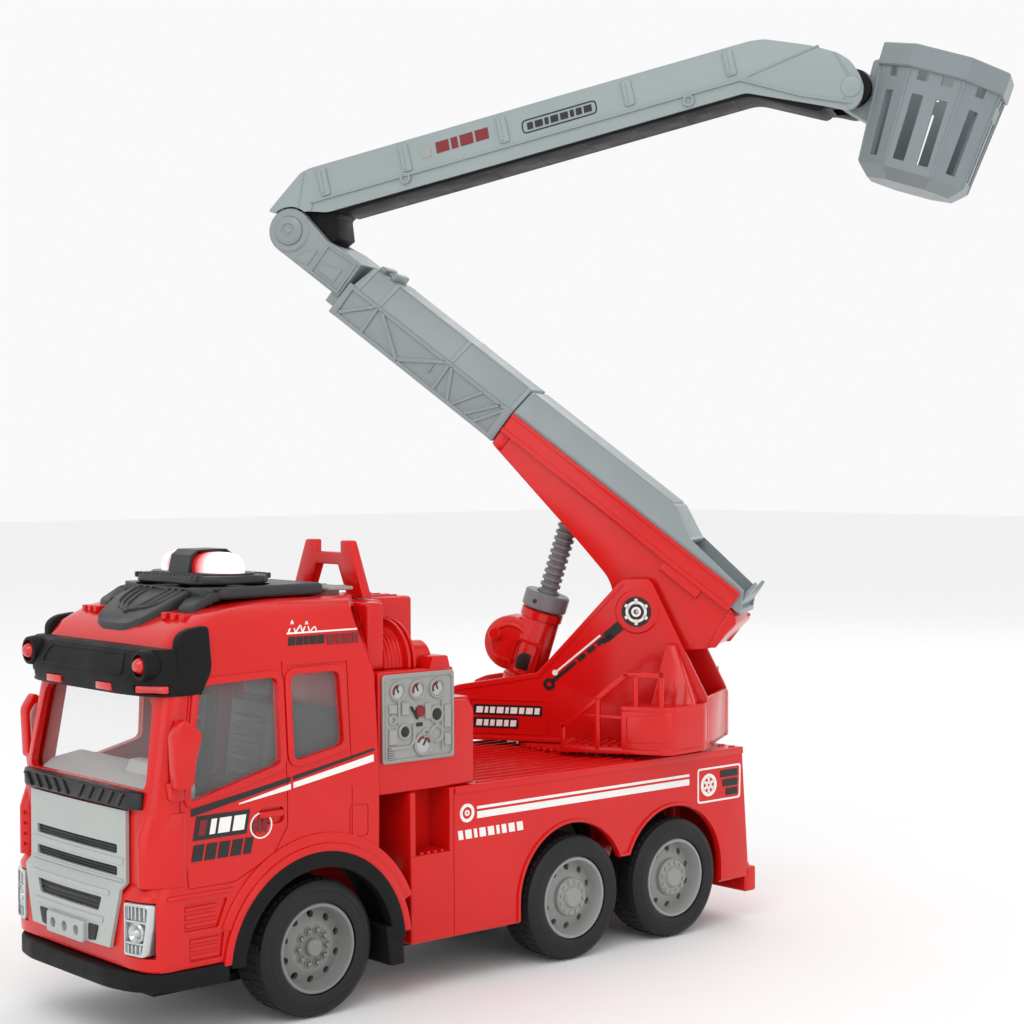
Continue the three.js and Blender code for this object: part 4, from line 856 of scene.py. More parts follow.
drum += [lathe([(0, -64), (6.4, -64), (7.6, -62.8), (7.6, -52.6), (0, -52.6)], "x", CRANK, 32),
         lathe([(0, -65.2), (2.6, -65.2), (3, -64.4), (3, -63), (0, -63)], "x", CRANK, 24),
         box(-54.2, -52.6, 22.4, 23.6, 139.6, 143.6, 0.3, 1)]
reel = []                             # what stands above the house's roof and beside the tank
for solid in drum:
    if min(v.co.z for v in solid.verts) < 126.8 or min(v.co.y for v in solid.verts) < 17.3:
        solid = combined(solid, box(-80, 0, 17.3, 60, 126.7, 170, 0), "INTERSECT")
    reel.append(solid)
piece("reel", "vehicle", reel, RED, ("hose_reel",), 30)

# control panels: plate, gauges, dials, switch boxes and pipes
plate = prism(rect(-66.6, -31.2, 91.2, 125.4, 1.4), 46.3, 47.5, "y", 0.35)
bits = [ribbon(rect(-65.4, -32.4, 92.4, 124.2, 1.4), 0.8, 47.3, 48, "y", True)]
white_bits, red_bits, dark_bits = [], [], []
GAUGE_Z, BIG_GAUGE = 118.8, (-50.6, 97.4)
for x in (-38.2, -47.8, -57.6):
    at = (x, GAUGE_Z)
    bits.append(lathe([(3.9, 47.2), (3.9, 48.3), (3.4, 48.7), (3, 48.3), (3, 47.2)], "y", at, 32))
    white_bits.append(rod(3, 47.2, 47.9, "y", at, 0.1, 28))
    red_bits.append(prism(arc(*at, 2.6, -30, 100, 10) + arc(*at, 1.7, 100, -30, 10), 47.6, 48.1, "y", 0))
    dark_bits.append(turned(box(x - 0.25, x + 0.25, 47.7, 48.25, 118.4, 121.2, 0), 24, "y", (x, 48, GAUGE_Z)))
for x, z, radius in ((-41.6, 103, 2.6), (-57.4, 108.6, 2.9), (-57.4, 101, 2.9), (-52, 101.6, 1.4),
                     (-36, 108, 1.5)):
    collar = [(radius + 0.7, 47.2), (radius + 0.7, 48), (radius, 48.5), (radius - 0.6, 48),
              (radius - 0.6, 47.2)]
    bits.append(lathe(collar, "y", (x, z), 28))
red_bits.append(rod(2.3, 47.2, 48.3, "y", (-49.2, 110.4), 0.3, 24))
dark_bits += [rod(1.9, 47.2, 48.3, "y", (-41.6, 103), 0.3, 24),
              rod(2.2, 47.2, 48.3, "y", (-57.4, 108.6), 0.3, 24),
              turned(box(-46.6, -45.8, 47.5, 48.5, 107, 113, 0.2, 1), 32, "y", (-46.2, 48, 110)),
              box(-50.4, -47.4, 47.3, 48.1, 104.6, 106, 0.2, 1)]
for x0, x1, z0, z1 in ((-37.6, -33.8, 110.4, 114), (-37.6, -33.8, 98.4, 104.4), (-64.4, -61, 103, 112),
                       (-64.4, -61, 96, 101), (-43.6, -40, 109.4, 114.4), (-54.4, -51.4, 107, 113.4)):
    bits.append(box(x0, x1, 47, 48.6, z0, z1, 0.4, 1))
bits += [tube([(-34.6, 47.8, 97), (-44, 47.8, 97), (-46, 47.8, 99), (-46, 47.8, 105.6)], 0.7, 8),
         tube([(-38.6, 47.8, 115), (-38.6, 47.8, 106)], 0.6, 8),
         tube([(-57.4, 47.8, 105.6), (-57.4, 47.8, 104)], 0.7, 8),
         tube([(-60.2, 47.8, 94.4), (-60.2, 47.8, 114)], 0.5, 8)]
white_bits.append(rod(3.7, 47.2, 48, "y", BIG_GAUGE, 0.1, 32))
bits.append(lathe([(4.6, 47.2), (4.6, 48.3), (4.1, 48.8), (3.6, 48.3), (3.6, 47.2)], "y", BIG_GAUGE, 36))
red_bits.append(prism(arc(*BIG_GAUGE, 3.3, 20, 170, 12) + arc(*BIG_GAUGE, 2.3, 170, 20, 12), 47.7, 48.2, "y",
                      0))
dark_bits.append(turned(box(-50.9, -50.3, 47.7, 48.3, 97, 100.4, 0), -30, "y", (-50.6, 48, 97.4)))
bits += [box(-36.4, -33.4, 47.2, 48.3, 92.9 + 0.9 * k, 93.4 + 0.9 * k, 0.1, 1) for k in range(6)]
bits += [rod(0.7, 47.4, 48.2, "y", at, 0.15, 12) for at in ((-64.8, 92.9), (-64.8, 123.4), (-33, 123.4))]
piece("control_panels", "vehicle", both(plate, *bits), PANEL,
      ("control_panel_left", "control_panel_right"))
piece("dials", "vehicle", both(*white_bits), SILVER)
piece("dial_arcs", "vehicle", both(*red_bits), MAROON)
piece("dial_needles", "vehicle", both(*dark_bits), INK)


# ---------------------------------------------------------------- wheels
WHEEL_Y, WHEEL_Z, RIM_HOLES = 39, 26, 10


def wheel_solids(x, front):
    """Tyre, rim and black discs of painted shade at the bottoms of the rim's holes, of the left wheel at x; its
    outer side is towards +y.
    """
    tyre = lathe([(17.3, -9.6), (19, -9.9), (21.5, -10), (23.6, -9.4), (25.2, -8.2), (25.5, -7), (25.5, 7),
                  (25.2, 8.2), (23.6, 9.4), (22.4, 9.8), (21.6, 9.7), (21.2, 10), (19.4, 9.9), (18.2, 9.9),
                  (17.3, 9.4)], "y", (0, 0), 96)
    blocks = []
    for k in range(46):
        for side in (-1, 1):
            block = prism([(-1.15, 1.4 * side), (1.15, 1.4 * side), (1.6, 6.4 * side), (-0.7, 6.4 * side)],
                          24.6, 25.8, "z", 0.15, 1)
            blocks.append(turned(block, 360 * k / 46 + 2.6 * side, "y"))
    ring = lathe([(0, -7), (17.1, -7), (17.1, 8.4), (16.6, 9.1), (15.6, 9.1), (15.1, 8.2), (14.6, 4.6),
                  (13.9, 3.5), (10.6, 4.4), (9.6, 5), (8.6, 5.2), (0, 5.2)], "y", (0, 0), 72)
    around = [360 * k / RIM_HOLES for k in range(RIM_HOLES)]
    ring = cut(ring, merged([turned(rod(1.45, 0, 12, "y", (0, 12.3), 0, 16), angle, "y") for angle in around]))
    # black discs at the bottoms of the rim's holes: painted shade in the holes
    hole_shade_discs = [turned(rod(1.43, 0.4, 1.4, "y", (0, 12.3), 0, 16), angle, "y") for angle in around]
    if front:
        cap, knobs, knob_high = [(3.4, 5), (3.4, 7), (3, 7.6), (0, 7.8), (0, 5)], 10, 6.6
    else:
        cap = [(8, 5), (8, 7), (7.4, 7.7), (4.6, 7.7), (4.3, 8.5), (3.7, 9), (0, 9.1), (0, 5)]
        knobs, knob_high = 12, 8.4
    hub = [lathe(cap, "y", (0, 0), 48)]
    for k in range(knobs):
        spot = 360 * k / knobs + 18
        hub.append(turned(rod(0.8, 4.6, knob_high, "y", (0, 6.4), 0.25, 12), spot, "y"))
        if front:
            hub.append(turned(lathe([(1.2, 5), (1.2, 5.7), (1.5, 5.8), (1.7, 5.6), (1.7, 5)], "y", (0, 6.4),
                                    16), spot, "y"))
    return [[moved(s, x, WHEEL_Y, WHEEL_Z) for s in group] for group in ([tyre] + blocks, [ring] + hub, hole_shade_discs)]


for name, x in (("front", 0), ("middle", REAR_AXLES[0]), ("rear", REAR_AXLES[1])):
    tyres, rims, hole_shade_discs = wheel_solids(x, name == "front")
    body_name = name + "_axle"
    piece(name + "_tyres", body_name, both(*tyres), RUBBER,
          (name + "_tyre_left", name + "_tyre_right"), 30)
    axle = rod(2, -38, 38, "y", (x, WHEEL_Z), 0.1, 16)
    piece(name + "_rims", body_name, both(*rims) + [axle], RIM_GREY if name == "front" else HUB_GREY,
          (name + "_wheels",), 30)
    # black discs in the rim holes: painted shade, not a part of the toy
    piece(name + "_rim_hole_shade_discs", body_name, both(*hole_shade_discs), BLACK)

# ---------------------------------------------------------------- turret
PIVOT = (-17.9, 140.8)                # the boom pin, in the turret's frame
ribs = [turned(box(38.6, 41.9, -0.6, 0.6, 79.3, 80.9, 0.2, 1), 360 * k / 60, "z") for k in range(60)]
table_solids = [lathe([(0, 70), (13.9, 70), (13.9, 79.4), (39.6, 79.4), (40.4, 79.8), (40.4, 80.8), (39.8, 81),
                       (0, 81)], "z", (0, 0), 96)] + ribs
PLATE = [(-49.5, 81.4), (72, 81.4), (72, 103.4), (66, 106), (28.2, 112.5), (-11.1, 155.1), (-23.8, 155.3),
         (-37.9, 126.6), (-49.5, 103.6)]
plate_outline = rounded(PLATE, [0.6, 0.8, 1.5, 2, 1.5, 3, 3, 2, 1.5], 6)
plate = prism(plate_outline, 20.3, 22.3, "y", 0.7, 3)
plate = cut(plate, rod(3.4, 10, 30, "y", PIVOT, 0, 32))
edge_step = ribbon([(70.6, 101.8), (65.4, 104), (27.4, 110.8), (-11.8, 153)], 1.1, 22, 22.8, "y")
label_frame = ribbon(rect(23.7, 59.5, 85, 100, 1.6), 0.8, 22.1, 22.8, "y", True)
boss = lathe([(3.4, 21.5), (3.4, 23.2), (4.4, 23.4), (9.2, 23.2), (9.8, 22.6), (9.8, 21.5)], "y", PIVOT, 48)
walls = [box(-49.4, 71.9, -22, 22, 81.4, 83.8, 0.5), box(69.8, 71.9, -21.6, 21.6, 81.5, 98, 0.8, 3)]
walls.append(box(-49.4, -47.3, -21.8, 21.8, 81.5, 103.6, 0.6))
sill = both(box(-49.4, 71.8, 20.4, 22.9, 81.4, 83.6, 0.6))
piece("turret", "turret", table_solids + both(plate, edge_step, boss, label_frame) + walls + sill, RED,
      ("turntable", "turret_frame"), 34)

PLATE_SIDE = 22.8                     # where the side platforms start
base = prism(rounded([(-49.4, PLATE_SIDE), (10.4, PLATE_SIDE), (10.4, 48.3), (-38.9, 48.3), (-49.4, 27)],
                     [0.5, 0.5, 1.5, 4, 2]), 81.4, 84, "z", 0.7)
locker = prism(rounded([(-49.4, PLATE_SIDE), (-16.8, PLATE_SIDE), (-16.8, 48.3), (-38.9, 48.3), (-49.4, 27)],
                       [0.4, 0.4, 0.8, 5, 3]), 83, 101, "z", 0.8, 3)
locker_lip = prism(rounded([(-49.4, PLATE_SIDE), (-16.6, PLATE_SIDE), (-16.6, 48.4), (-38.9, 48.4),
                            (-49.4, 27)], [0.4, 0.4, 0.8, 5, 3]), 99.6, 101.9, "z", 0.5)


def bar(start, end, t0, t1, width=2.4, bevel=0.5):
    """Square bar between two points of the (s, z) plane."""
    (s0, z0), (s1, z1) = start, end
    length = math.hypot(s1 - s0, z1 - z0)
    made = box(-width / 2, length + width / 2, t0, t1, -width / 2, width / 2, bevel)
    bmesh.ops.rotate(made, cent=(0, 0, 0), matrix=Matrix.Rotation(-math.atan2(z1 - z0, s1 - s0), 3, "Y"),
                     verts=made.verts)
    return moved(made, s0, 0, z0)


RAIL = [(8.9, 83.6), (8.9, 92.6), (-18.9, 115.4), (-34.6, 115.4), (-34.6, 101)]
rails = [bar(a, b, 46, 48.3) for a, b in zip(RAIL, RAIL[1:])]
rails += [bar((-6.5, 83.6), (-6.5, 104.4), 46, 48.3), bar((-23.4, 101), (-23.4, 114.8), 46, 48.3)]
rails += [bar((-16.6, 97), (1.4, 97.6), 46.4, 48, 1.4, 0.3)]
fin = prism([(PLATE_SIDE, 101), (36, 101), (25.5, 127), (PLATE_SIDE, 127)], -46, -27, "x", 0)
fin = combined(fin, prism([(-27, 100), (-31.5, 128), (-35.5, 128), (-46, 103), (-46, 100)], 0, 60, "y"),
               "INTERSECT")
soften(fin, 0.9, 3, 20)
fin_ribs = [prism([(s, 101.5), (s + 1.2, 101.5), (s + 0.8 - 0.06 * (s + 46), 112), (s + 0.2, 112)], 35.2, 36.6,
                  "y", 0.2, 1) for s in (-43, -38, -33)]
lids = [prism(rect(-37.2, -19.4, 86.4, 98, 1.2), 47.9, 48.7, "y", 0.3)]
grip = [box(8.6, 10.4, 26 + 4.2 * k, 28.4 + 4.2 * k, 81.8, 84.5, 0.3, 1) for k in range(5)]
grip += [box(-15 + 4.2 * k, -13.2 + 4.2 * k, 24.4, 46, 83.8, 84.5, 0.25, 1) for k in range(6)]
piece("platforms", "turret", both(base, locker, locker_lip, fin, *rails, *fin_ribs, *lids, *grip), RED,
      ("platform_left", "platform_right"), 34)

# ---------------------------------------------------------------- jack
jack_tube = lathe([(0, -1.8), (8.4, -1.8), (9, -1.2), (9, 41), (8.4, 42), (5.6, 42), (5.4, 41), (5.4, 4.1),
                   (0, 4.1)], "z", (0, 0), 48)
LOBE = (9, 23.7)
bore = rod(5.4, 4, 60, "z", (0, 0), 0, 40)
foot = cut(rod(9, -8.9, 8.9, "y", (0, 0), 0.8, 40), bore)
lobe = cut(rod(12.4, -7.4, 7.4, "y", LOBE, 1.4, 56), bore)
lobe_rim = both(lathe([(9.2, 7.2), (9.2, 7.9), (8.6, 8.2), (7.8, 8.2), (7.2, 7.2)], "y", LOBE, 48))
lobe_boss = lathe([(0, 7), (3, 7), (3, 8.9), (2.5, 9.5), (0, 9.5)], "y", (16.5, 25.5), 28)
cross = rod(1.9, -22.2, 22.2, "y", (0, 0), 0.2, 20)
latch = both(ribbon(rect(-6, 6, 12, 27, 2.4), 1.6, 8.2, 9.3, "y", True))
ring_low = lathe([(8.9, 8), (9.5, 8.4), (9.5, 9.6), (8.9, 10)], "z", (0, 0), 48)
ring_high = lathe([(8.9, 37.6), (9.7, 38.1), (9.7, 41.6), (8.9, 41.9)], "z", (0, 0), 48)
piece("jack_body", "jack", [jack_tube, foot, lobe, lobe_boss, cross, ring_low, ring_high] + lobe_rim + latch,
      RED, ("jack_housing",), 34)
piece("jack_slot", "jack", both(prism(rounded([(-3, 14), (3, 14), (3.4, 19), (1.2, 22), (-3, 22)], 1.2),
                                      8.2, 9.15, "y", 0.2)), INK)
collar_ring = lathe([(5.4, 42.5), (9.6, 42.5), (10.3, 43.2), (10.3, 49.6), (9.7, 50.3), (5.4, 50.3)], "z",
                    (0, 0), 56)
collar_ring = cut(collar_ring, rod(1.1, 8, 20, "y", (2.4, 46), 0, 16))
piece("collar", "jack", [collar_ring], ROD_GREY, ("jack_collar",), 34)
profile = [(0, 30.5)]
for z in (31 + 3.1 * k for k in range(18)):
    profile += [(3.7, z), (4.0, z + 0.4), (4.7, z + 0.6), (4.7, z + 2.0), (4.0, z + 2.2), (3.7, z + 2.5)]
profile += [(4.4, 86.2), (4.4, 88), (0, 88)]
EYE_UP = 92.1                         # the rod's eye, above the jack's foot
ribbed_rod = lathe(profile, "z", (0, 0), 40)
eye = cut(prism(circle(0, EYE_UP, 5.4, 36), -3.9, 3.9, "y", 0.6), rod(3.9, -20, 20, "y", (0, EYE_UP), 0, 32))
neck = cut(box(-4, 4, -3.6, 3.6, 85, 90, 0.4), rod(4, -20, 20, "y", (0, EYE_UP), 0, 32))
piece("ribbed_rod", "jack_rod", [ribbed_rod, eye, neck], ROD_GREY, ("jack_rod",), 40)

# ---------------------------------------------------------------- boom channel
BELLY = [(99.8, 26), (99.8, 17.2), (43.5, 7.4), (18, 2.2), (9, -8), (-8, -12), (-26, -2), (-35.6, 7.3),
         (-37.4, 23), (-31, 26)]
belly = prism(rounded(BELLY, [0.5, 1.5, 10, 6, 7, 8, 6, 3, 2, 0.5], 6), -16.5, 16.5, "y", 2.6, 4, 50)
channel = box(-30.9, 99.8, -18.4, 18.4, 24.3, 34.3, 0.9, 3)
channel = cut(channel, box(-60, 120, -16.5, 16.5, 26.1, 60, 0))
belly = cut(belly, box(-24, 95.9, -14, 14, -30, 24.2, 0), box(-60, 120, -17, 17, 26, 60, 0))
flanges = both(prism(rect(-30.8, 99.7, 24.4, 27), 18, 18.9, "y", 0.4),
               prism(rect(-30.8, 99.7, 32.6, 34.3), 18, 18.8, "y", 0.3))
end_bands = both(prism([(94.6, 17), (99.8, 17.6), (99.8, 25), (94.6, 25)], 16, 17.2, "y", 0.3),
                 prism([(-36.6, 8.4), (-33.4, 5.8), (-31.4, 24), (-36.6, 24)], 16, 17.3, "y", 0.4))
tabs = both(prism(rect(-16.6, 4.4, 20, 24.6, 0.8), 16.2, 18.5, "y", 0.5))
head_in_boom = BOOM.inverted() @ (JACK @ Vector((0, 0, EYE_UP)))
cross_pin = rod(1.7, -15.4, 15.4, "y", (head_in_boom.x, head_in_boom.z), 0.1, 16)
sleeve = cut(rod(6.5, -16.4, 16.4, "y", (0, 0), 0.2, 36), rod(3.4, -30, 30, "y", (0, 0), 0, 28))
piece("channel", "boom", [belly, channel, cross_pin, sleeve] + flanges + end_bands + tabs, RED,
      ("boom_channel",), 34)


# ---------------------------------------------------------------- grey telescopic parts
def cover(half, low, shoulder, top, bevel, u0, u1):
    """Bar along the boom with bevelled upper edges."""
    return prism([(-half, low), (half, low), (half, shoulder), (bevel, top), (-bevel, top), (-half, shoulder)],
                 u0, u1, "x", 0)


liner = combined(prism([(-36, 26.5), (100.1, 26.5), (100.1, 46), (16, 46), (2.5, 39), (-31, 35.6)], -16, 16,
                       "y"), cover(16, 26.5, 35.4, 46, 11, -60, 120), "INTERSECT")
soften(liner, 0.7, 3, 20)
liner = cut(liner, combined(cover(14.1, 28.4, 34.8, 44.1, 10.2, -34, 98),
                            prism([(-40, 28), (98, 28), (98, 44.1), (17.2, 44.1), (4, 37.4), (-40, 33.2)],
                                  -30, 30, "y"), "INTERSECT"), box(-60, 1, -14.1, 14.1, 28.4, 60, 0),
            box(96, 110, -10.2, 10.2, 28.4, 41, 0))
hat = prism([(-10.9, 44.5), (10.9, 44.5), (10.2, 46.6), (-10.2, 46.6)], 18, 99, "x", 0.35)
w_plate = prism([(-13.8, 28), (13.8, 28), (13.8, 36), (9, 41), (5, 33), (0, 38), (-5, 33), (-9, 41),
                 (-13.8, 36)], -33.4, -31.8, "x", 0.4)
piece("liner", "stage", [liner, hat, w_plate], BOOM_GREY, ("boom_liner",), 30)

HALF, LOW, SHOULDER, HIGH, BEVEL = 16.5, 17.9, 35, 46.4, 11
truss = combined(prism([(100.6, LOW), (200.1, LOW), (196.2, HIGH), (100.6, HIGH)], -HALF, HALF, "y"),
                 cover(HALF, LOW, SHOULDER, HIGH, BEVEL, 90, 220), "INTERSECT")
soften(truss, 0.6, 3, 20)
truss = cut(truss, cover(14.3, 20, 34.4, 44.4, 10.2, 103.5, 220), box(98, 107, -10, 10, 26, 41.4, 0))
WEB_LINES = (  # two ends, width
    ([(102, 19.2), (199, 19.2)], 2.4), ([(102, 33.8), (198, 33.8)], 2.2), ([(102.2, 19), (102.2, 34)], 2.6),
    ([(198.4, 19), (197.6, 34)], 2.6), ([(113, 20), (104, 33)], 1.6), ([(119, 19.6), (107, 33.6)], 1.6),
    ([(126, 20), (117, 33.4)], 1.6), ([(129, 19.8), (136, 33.4)], 2.0), ([(140, 33.4), (160, 20)], 2.2),
    ([(160, 20), (179, 33.4)], 2.2), ([(137.6, 20), (137.6, 33.6)], 1.8), ([(181.4, 33.6), (181.4, 20)], 2.0),
    ([(183, 33), (196, 20.6)], 1.8), ([(144, 24.4), (144, 29)], 1.0))
web = [ribbon(line, width, HALF - 0.6, HALF + 0.75, "y", False, 0.75) for line, width in WEB_LINES]
RIB = [(HALF + 0.1, SHOULDER - 1), (HALF + 0.3, SHOULDER + 0.3), (BEVEL + 0.3, HIGH + 0.5),
       (BEVEL - 2, HIGH + 0.4), (BEVEL - 2, HIGH - 1), (HALF - 1, SHOULDER - 1)]
bevel_ribs = [prism(RIB, u - 1.1, u + 1.1, "x", 0.2, 1) for u in (101.8, 137.6, 181.4, 194.6)]
ridge = prism([(-10.6, HIGH - 0.6), (10.6, HIGH - 0.6), (9.8, HIGH + 0.5), (-9.8, HIGH + 0.5)], 101, 184, "x",
              0.3)
catch = [prism(rounded(rect(185, 188.2, 44, 50), [0, 0, 1.3, 1.3], 5), -8, 8, "y", 1.0, 3),
         prism(rounded(rect(191.6, 194.8, 44, 49), [0, 0, 1.3, 1.3], 5), -8, 8, "y", 1.0, 3),
         box(187, 193, -3, 3, 45.6, 47.6, 0.6)]
skirt = both(prism([(196.4, 18), (200.2, 18), (199.4, 35), (196.4, 35)], 16, 17.4, "y", 0.4),
             prism(rect(100.6, 104.6, 18, 35), 16, 17.3, "y", 0.4))
piece("truss", "stage", [truss, ridge] + catch + both(*web, *bevel_ribs) + skirt, BOOM_GREY,
      ("truss_section",), 30)

EYE = (239.2, 36)                     # the elbow, in the boom's frame
fork_outline = [(200.6, 25.7)] + arc(*EYE, 10.5, -90, 112, 28) + [(221, 43.2), (212, 44.5), (200.6, 44.5)]
fork = prism(fork_outline, -15.4, 15.4, "y", 0.8, 3, 40)
fork = cut(fork, rod(23.5, -10.7, 10.7, "y", EYE, 0, 64), rod(3.8, -30, 30, "y", EYE, 0, 32))
shank = cut(box(128, 206, -13.4, 13.4, 20.3, 33.5, 0.5), box(120, 197, -11.6, 11.6, 22.1, 31.7, 0))
fork_steps = both(ribbon([(202.6, 27.4), (219, 27.4), (219, 42), (202.6, 42.8)], 1.4, 15, 16.1, "y", True),
                  lathe([(6.9, 15), (6.9, 16.2), (9.2, 16.2), (10.3, 15.4), (10.3, 15)], "y", EYE, 48),
                  prism([(206.6, 29.6), (216.4, 29.6), (216.4, 33), (206.6, 37)], 15.2, 15.9, "y", 0.25),
                  prism([(222, 28.4), (229, 27), (227.4, 33), (222, 37.4)], 15.2, 15.9, "y", 0.25))
piece("fork_head", "fork", [fork, shank] + fork_steps, BOOM_GREY, ("fork",), 32)
rivet = lathe([(0, -17.7), (5.2, -17.7), (6.6, -16.9), (6.8, -15.9), (3.4, -15.8), (3.4, 15.8), (6.8, 15.9),
               (6.6, 16.9), (5.2, 17.6), (3.4, 17.8), (2.8, 17.2), (1.8, 17.2), (1.2, 17.75), (0, 17.8)], "y",
              EYE, 48)
piece("elbow_rivet", "fork", [rivet], BOOM_GREY, ("elbow_pin",), 40)

# ---------------------------------------------------------------- arm
KNUCKLE = (-265.5, -7.9)              # the basket's pin, in the arm's frame
ARM_TOP = [(-267.4, 3.4), (-263, 8), (-252.6, 14.3), (-234, 22.6), (-228, 23.6), (-145, 24.6), (-16.4, 25.7),
           (-11.6, 25), (3.6, 15), (8.8, 11.4)]
ARM_OUTLINE = ARM_TOP[::-1] + [(-270, -3), (-270.8, -9), (-269, -14), (-265.6, -17.2), (-261.6, -17.4),
                               (-257, -14.8), (-221, 2.4), (-108, 2.9), (-20, 3.6), (-12, 6.2), (-3, 8)]
shell = prism(rounded(ARM_OUTLINE, 2, 3), -15.4, 15.4, "y", 1.1, 3, 50)
flange = prism([(-14, 9.6), (-220.4, 7.8), (-243.6, -5.8), (-262, -14.6), (-264, -22), (-221, 0), (-10, 0)],
               14.9, 20, "y")
shell = cut(shell, prism([(10.4, 7.6), (2.6, 13), (-12.4, 23.2), (-16.4, 23.8), (-145, 22.7), (-228, 21.7),
                          (-233.4, 20.8), (-251.8, 12.5), (-262.2, 6.2), (-280, -7), (-280, -30), (20, -30)],
                         -13.6, 13.6, "y"), flange, mirrored(flange), rod(11.3, -30, 30, "y", (0, 0), 0, 48),
            rod(2.6, -30, 30, "y", KNUCKLE, 0, 24))
pills = []
for a in (-21.7, -63, -111, -170.4, -217):
    high = table(a, ARM_TOP)[0] - 1.6
    pills.append(prism(rect(a - 2.4, a + 2.4, 11, high, 1.2), 15, 16.3, "y", 0.5, 3))
    pills.append(prism(rect(a + 0.2, a + 1.7, 12, high - 1, 0.5), 16, 16.8, "y", 0.3))
lower_line = ribbon([(-13, 10), (-220, 8.3), (-243.6, -5.4), (-264, -14.6)], 1.1, 14.8, 16, "y")
crease = ribbon([(-223.4, 8.8), (-256, 13)], 1.4, 15, 15.9, "y", False, 0.2)
end_crease = ribbon([(-262, 8.2), (-266, -4), (-261.4, -12)], 1, 15, 15.8, "y", False, 0.5)
elbow_crease = ribbon([(-6.6, 9), (-13, 24)], 1.2, 15, 15.8, "y", False, 0.3)
rings = [lathe([(2.7, 14.8), (2.6, 16.2), (2.1, 16.5), (1.5, 16.1), (1.3, 15.2), (0, 15.2), (0, 14.8)], "y",
               at, 24) for at in ((-61, 8.4), (-196, 6))]
rivet_head = lathe([(0, 16.2), (3.4, 16.1), (4.4, 15.8), (4.8, 15), (0, 15)], "y", KNUCKLE, 36)
piece("arm_cover", "arm", [shell] + both(*pills, *rings, lower_line, crease, end_crease, elbow_crease,
                                         rivet_head), ARM_GREY, ("arm_shell",), 32)
LINER_BAR = [(-24.3, 2), (-24.3, 12), (-139.4, 17), (-228, 14), (-254, 0), (-254, -12), (-250, -14.4),
             (-222, 1)]
liner_bar = prism(rounded(LINER_BAR, [1, 1, 1, 1, 1, 2, 2, 4]), -13.2, 13.2, "y", 0.6, 2, 40)
liner_bar = cut(liner_bar, prism([(-30, 4.4), (-30, 30), (-222, 30), (-222, 4.4)], -11, 11, "y"))
tongue = prism(arc(0, 0, 9.6, -60, 90, 20) + [(-24.4, 12), (-24.4, 2), (-22.4, 1), (-21.4, -8.4), (-15, -11)],
               -10.3, 10.3, "y", 0.5, 2, 40)
tongue = cut(tongue, rod(3.8, -30, 30, "y", (0, 0), 0, 28))
knob = prism(arc(*KNUCKLE, 8.2, 90, 270, 24) + [(-252, -13.2), (-252, 0.2)], -13.1, 13.1, "y", 0.6, 2, 40)
knob = cut(knob, rod(12.2, -8.2, 8.2, "y", KNUCKLE, 0, 48), box(-290, KNUCKLE[0], -8.2, 8.2, -30, 20, 0),
           rod(2.6, -30, 30, "y", KNUCKLE, 0, 24))
under_ribs = [box(a - 0.7, a + 0.7, -12, 12, 0.9 + 0.005 * (a + 222), 2.6, 0.2, 1)
              for a in range(-214, -30, 23)]
piece("arm_inner", "arm", [liner_bar, tongue, knob] + under_ribs, BLACK, ("arm_liner",), 32)


# ---------------------------------------------------------------- basket
CAGE_MIDDLE = -35                     # from the knuckle


def octagon(half, z):
    """Ring of the basket's eight corners at a height."""
    side = half * 0.45
    ring = [(half, -side), (half, side), (side, half), (-side, half)]
    return [(CAGE_MIDDLE + p, q, z) for p, q in ring + [(-p, -q) for p, q in ring]]


outer = loft([octagon(18, -34.1), octagon(23, -29.2), octagon(26, 12.9)])
inner = loft([octagon(16.4, -31.2), octagon(20.8, -28.4), octagon(23.8, 14)])
cage = cut(outer, inner)
for k in range(1, 8):                 # every other face has two slots side by side
    for across in ((-5.2, 5.2) if k % 2 == 0 else (0,)):
        for low, high in ((-25.4, 2.4), (8.2, 13)):
            slot = prism(rect(across - 2.5, across + 2.5, low, high, 0.5), 14, 34, "x")
            cage = cut(cage, moved(turned(slot, 45 * k, "z"), CAGE_MIDDLE))
rim = cut(loft([octagon(27, 12.4), octagon(27.5, 13), octagon(27.6, 21.6), octagon(27, 22.2)]),
          loft([octagon(23.9, 10), octagon(25.6, 12.8), octagon(25.9, 24)]))
corner_ribs = [tube([low, high], 0.6, 8) for low, high in zip(octagon(22.9, -28.6), octagon(26, 12))]
lug = prism(arc(0, 0, 9, -70, 130, 28) + [(-8.2, 19), (-11.4, 19), (-11.6, -12)], -7.6, 7.6, "y", 0.9, 3, 50)
lug = cut(lug, rod(2.6, -20, 20, "y", (0, 0), 0, 28))
lug_face = both(lathe([(3, 7), (3, 8), (6.6, 8), (7.4, 7.6), (7.4, 7)], "y", (0, 0), 36))
bracket = both(prism(rounded([(-11.6, -9), (-5.6, -6.6), (-4.6, 14), (-11.6, 18)], 1), 6.6, 8, "y", 0.3))
piece("basket_cage", "basket", [cage, rim, lug] + corner_ribs + bracket, CAGE_GREY, ("basket",),
      30)

# ---------------------------------------------------------------- printed marks: plain bars, rings and stripes
def bars_row(x0, x1, z0, z1, shares, lean=0.0, gap=0.9):
    """Row of upright bars from x0 towards x1, each taking its share of the width."""
    total = sum(shares)
    room = abs(x1 - x0) - gap * (len(shares) - 1)
    sign = 1 if x1 > x0 else -1
    made, at = [], x0
    for share in shares:
        end = at + sign * room * share / total
        made.append([(at, z0), (end, z0), (end - lean, z1), (at - lean, z1)])
        at = end + sign * gap
    return made


def stripe(start, end, low_start, low_end):
    """Tapering stripe between two upright ends."""
    return [(start[0], start[1]), (end[0], end[1]), (end[0], end[1] - low_end),
            (start[0], start[1] - low_start)]


def ring_mark(x, z, outer, inner):
    """Flat ring round a middle."""
    return cut(prism(circle(x, z, outer, 36), 0, 0.3, "y"), prism(circle(x, z, inner, 30), -2, 2, "y"))


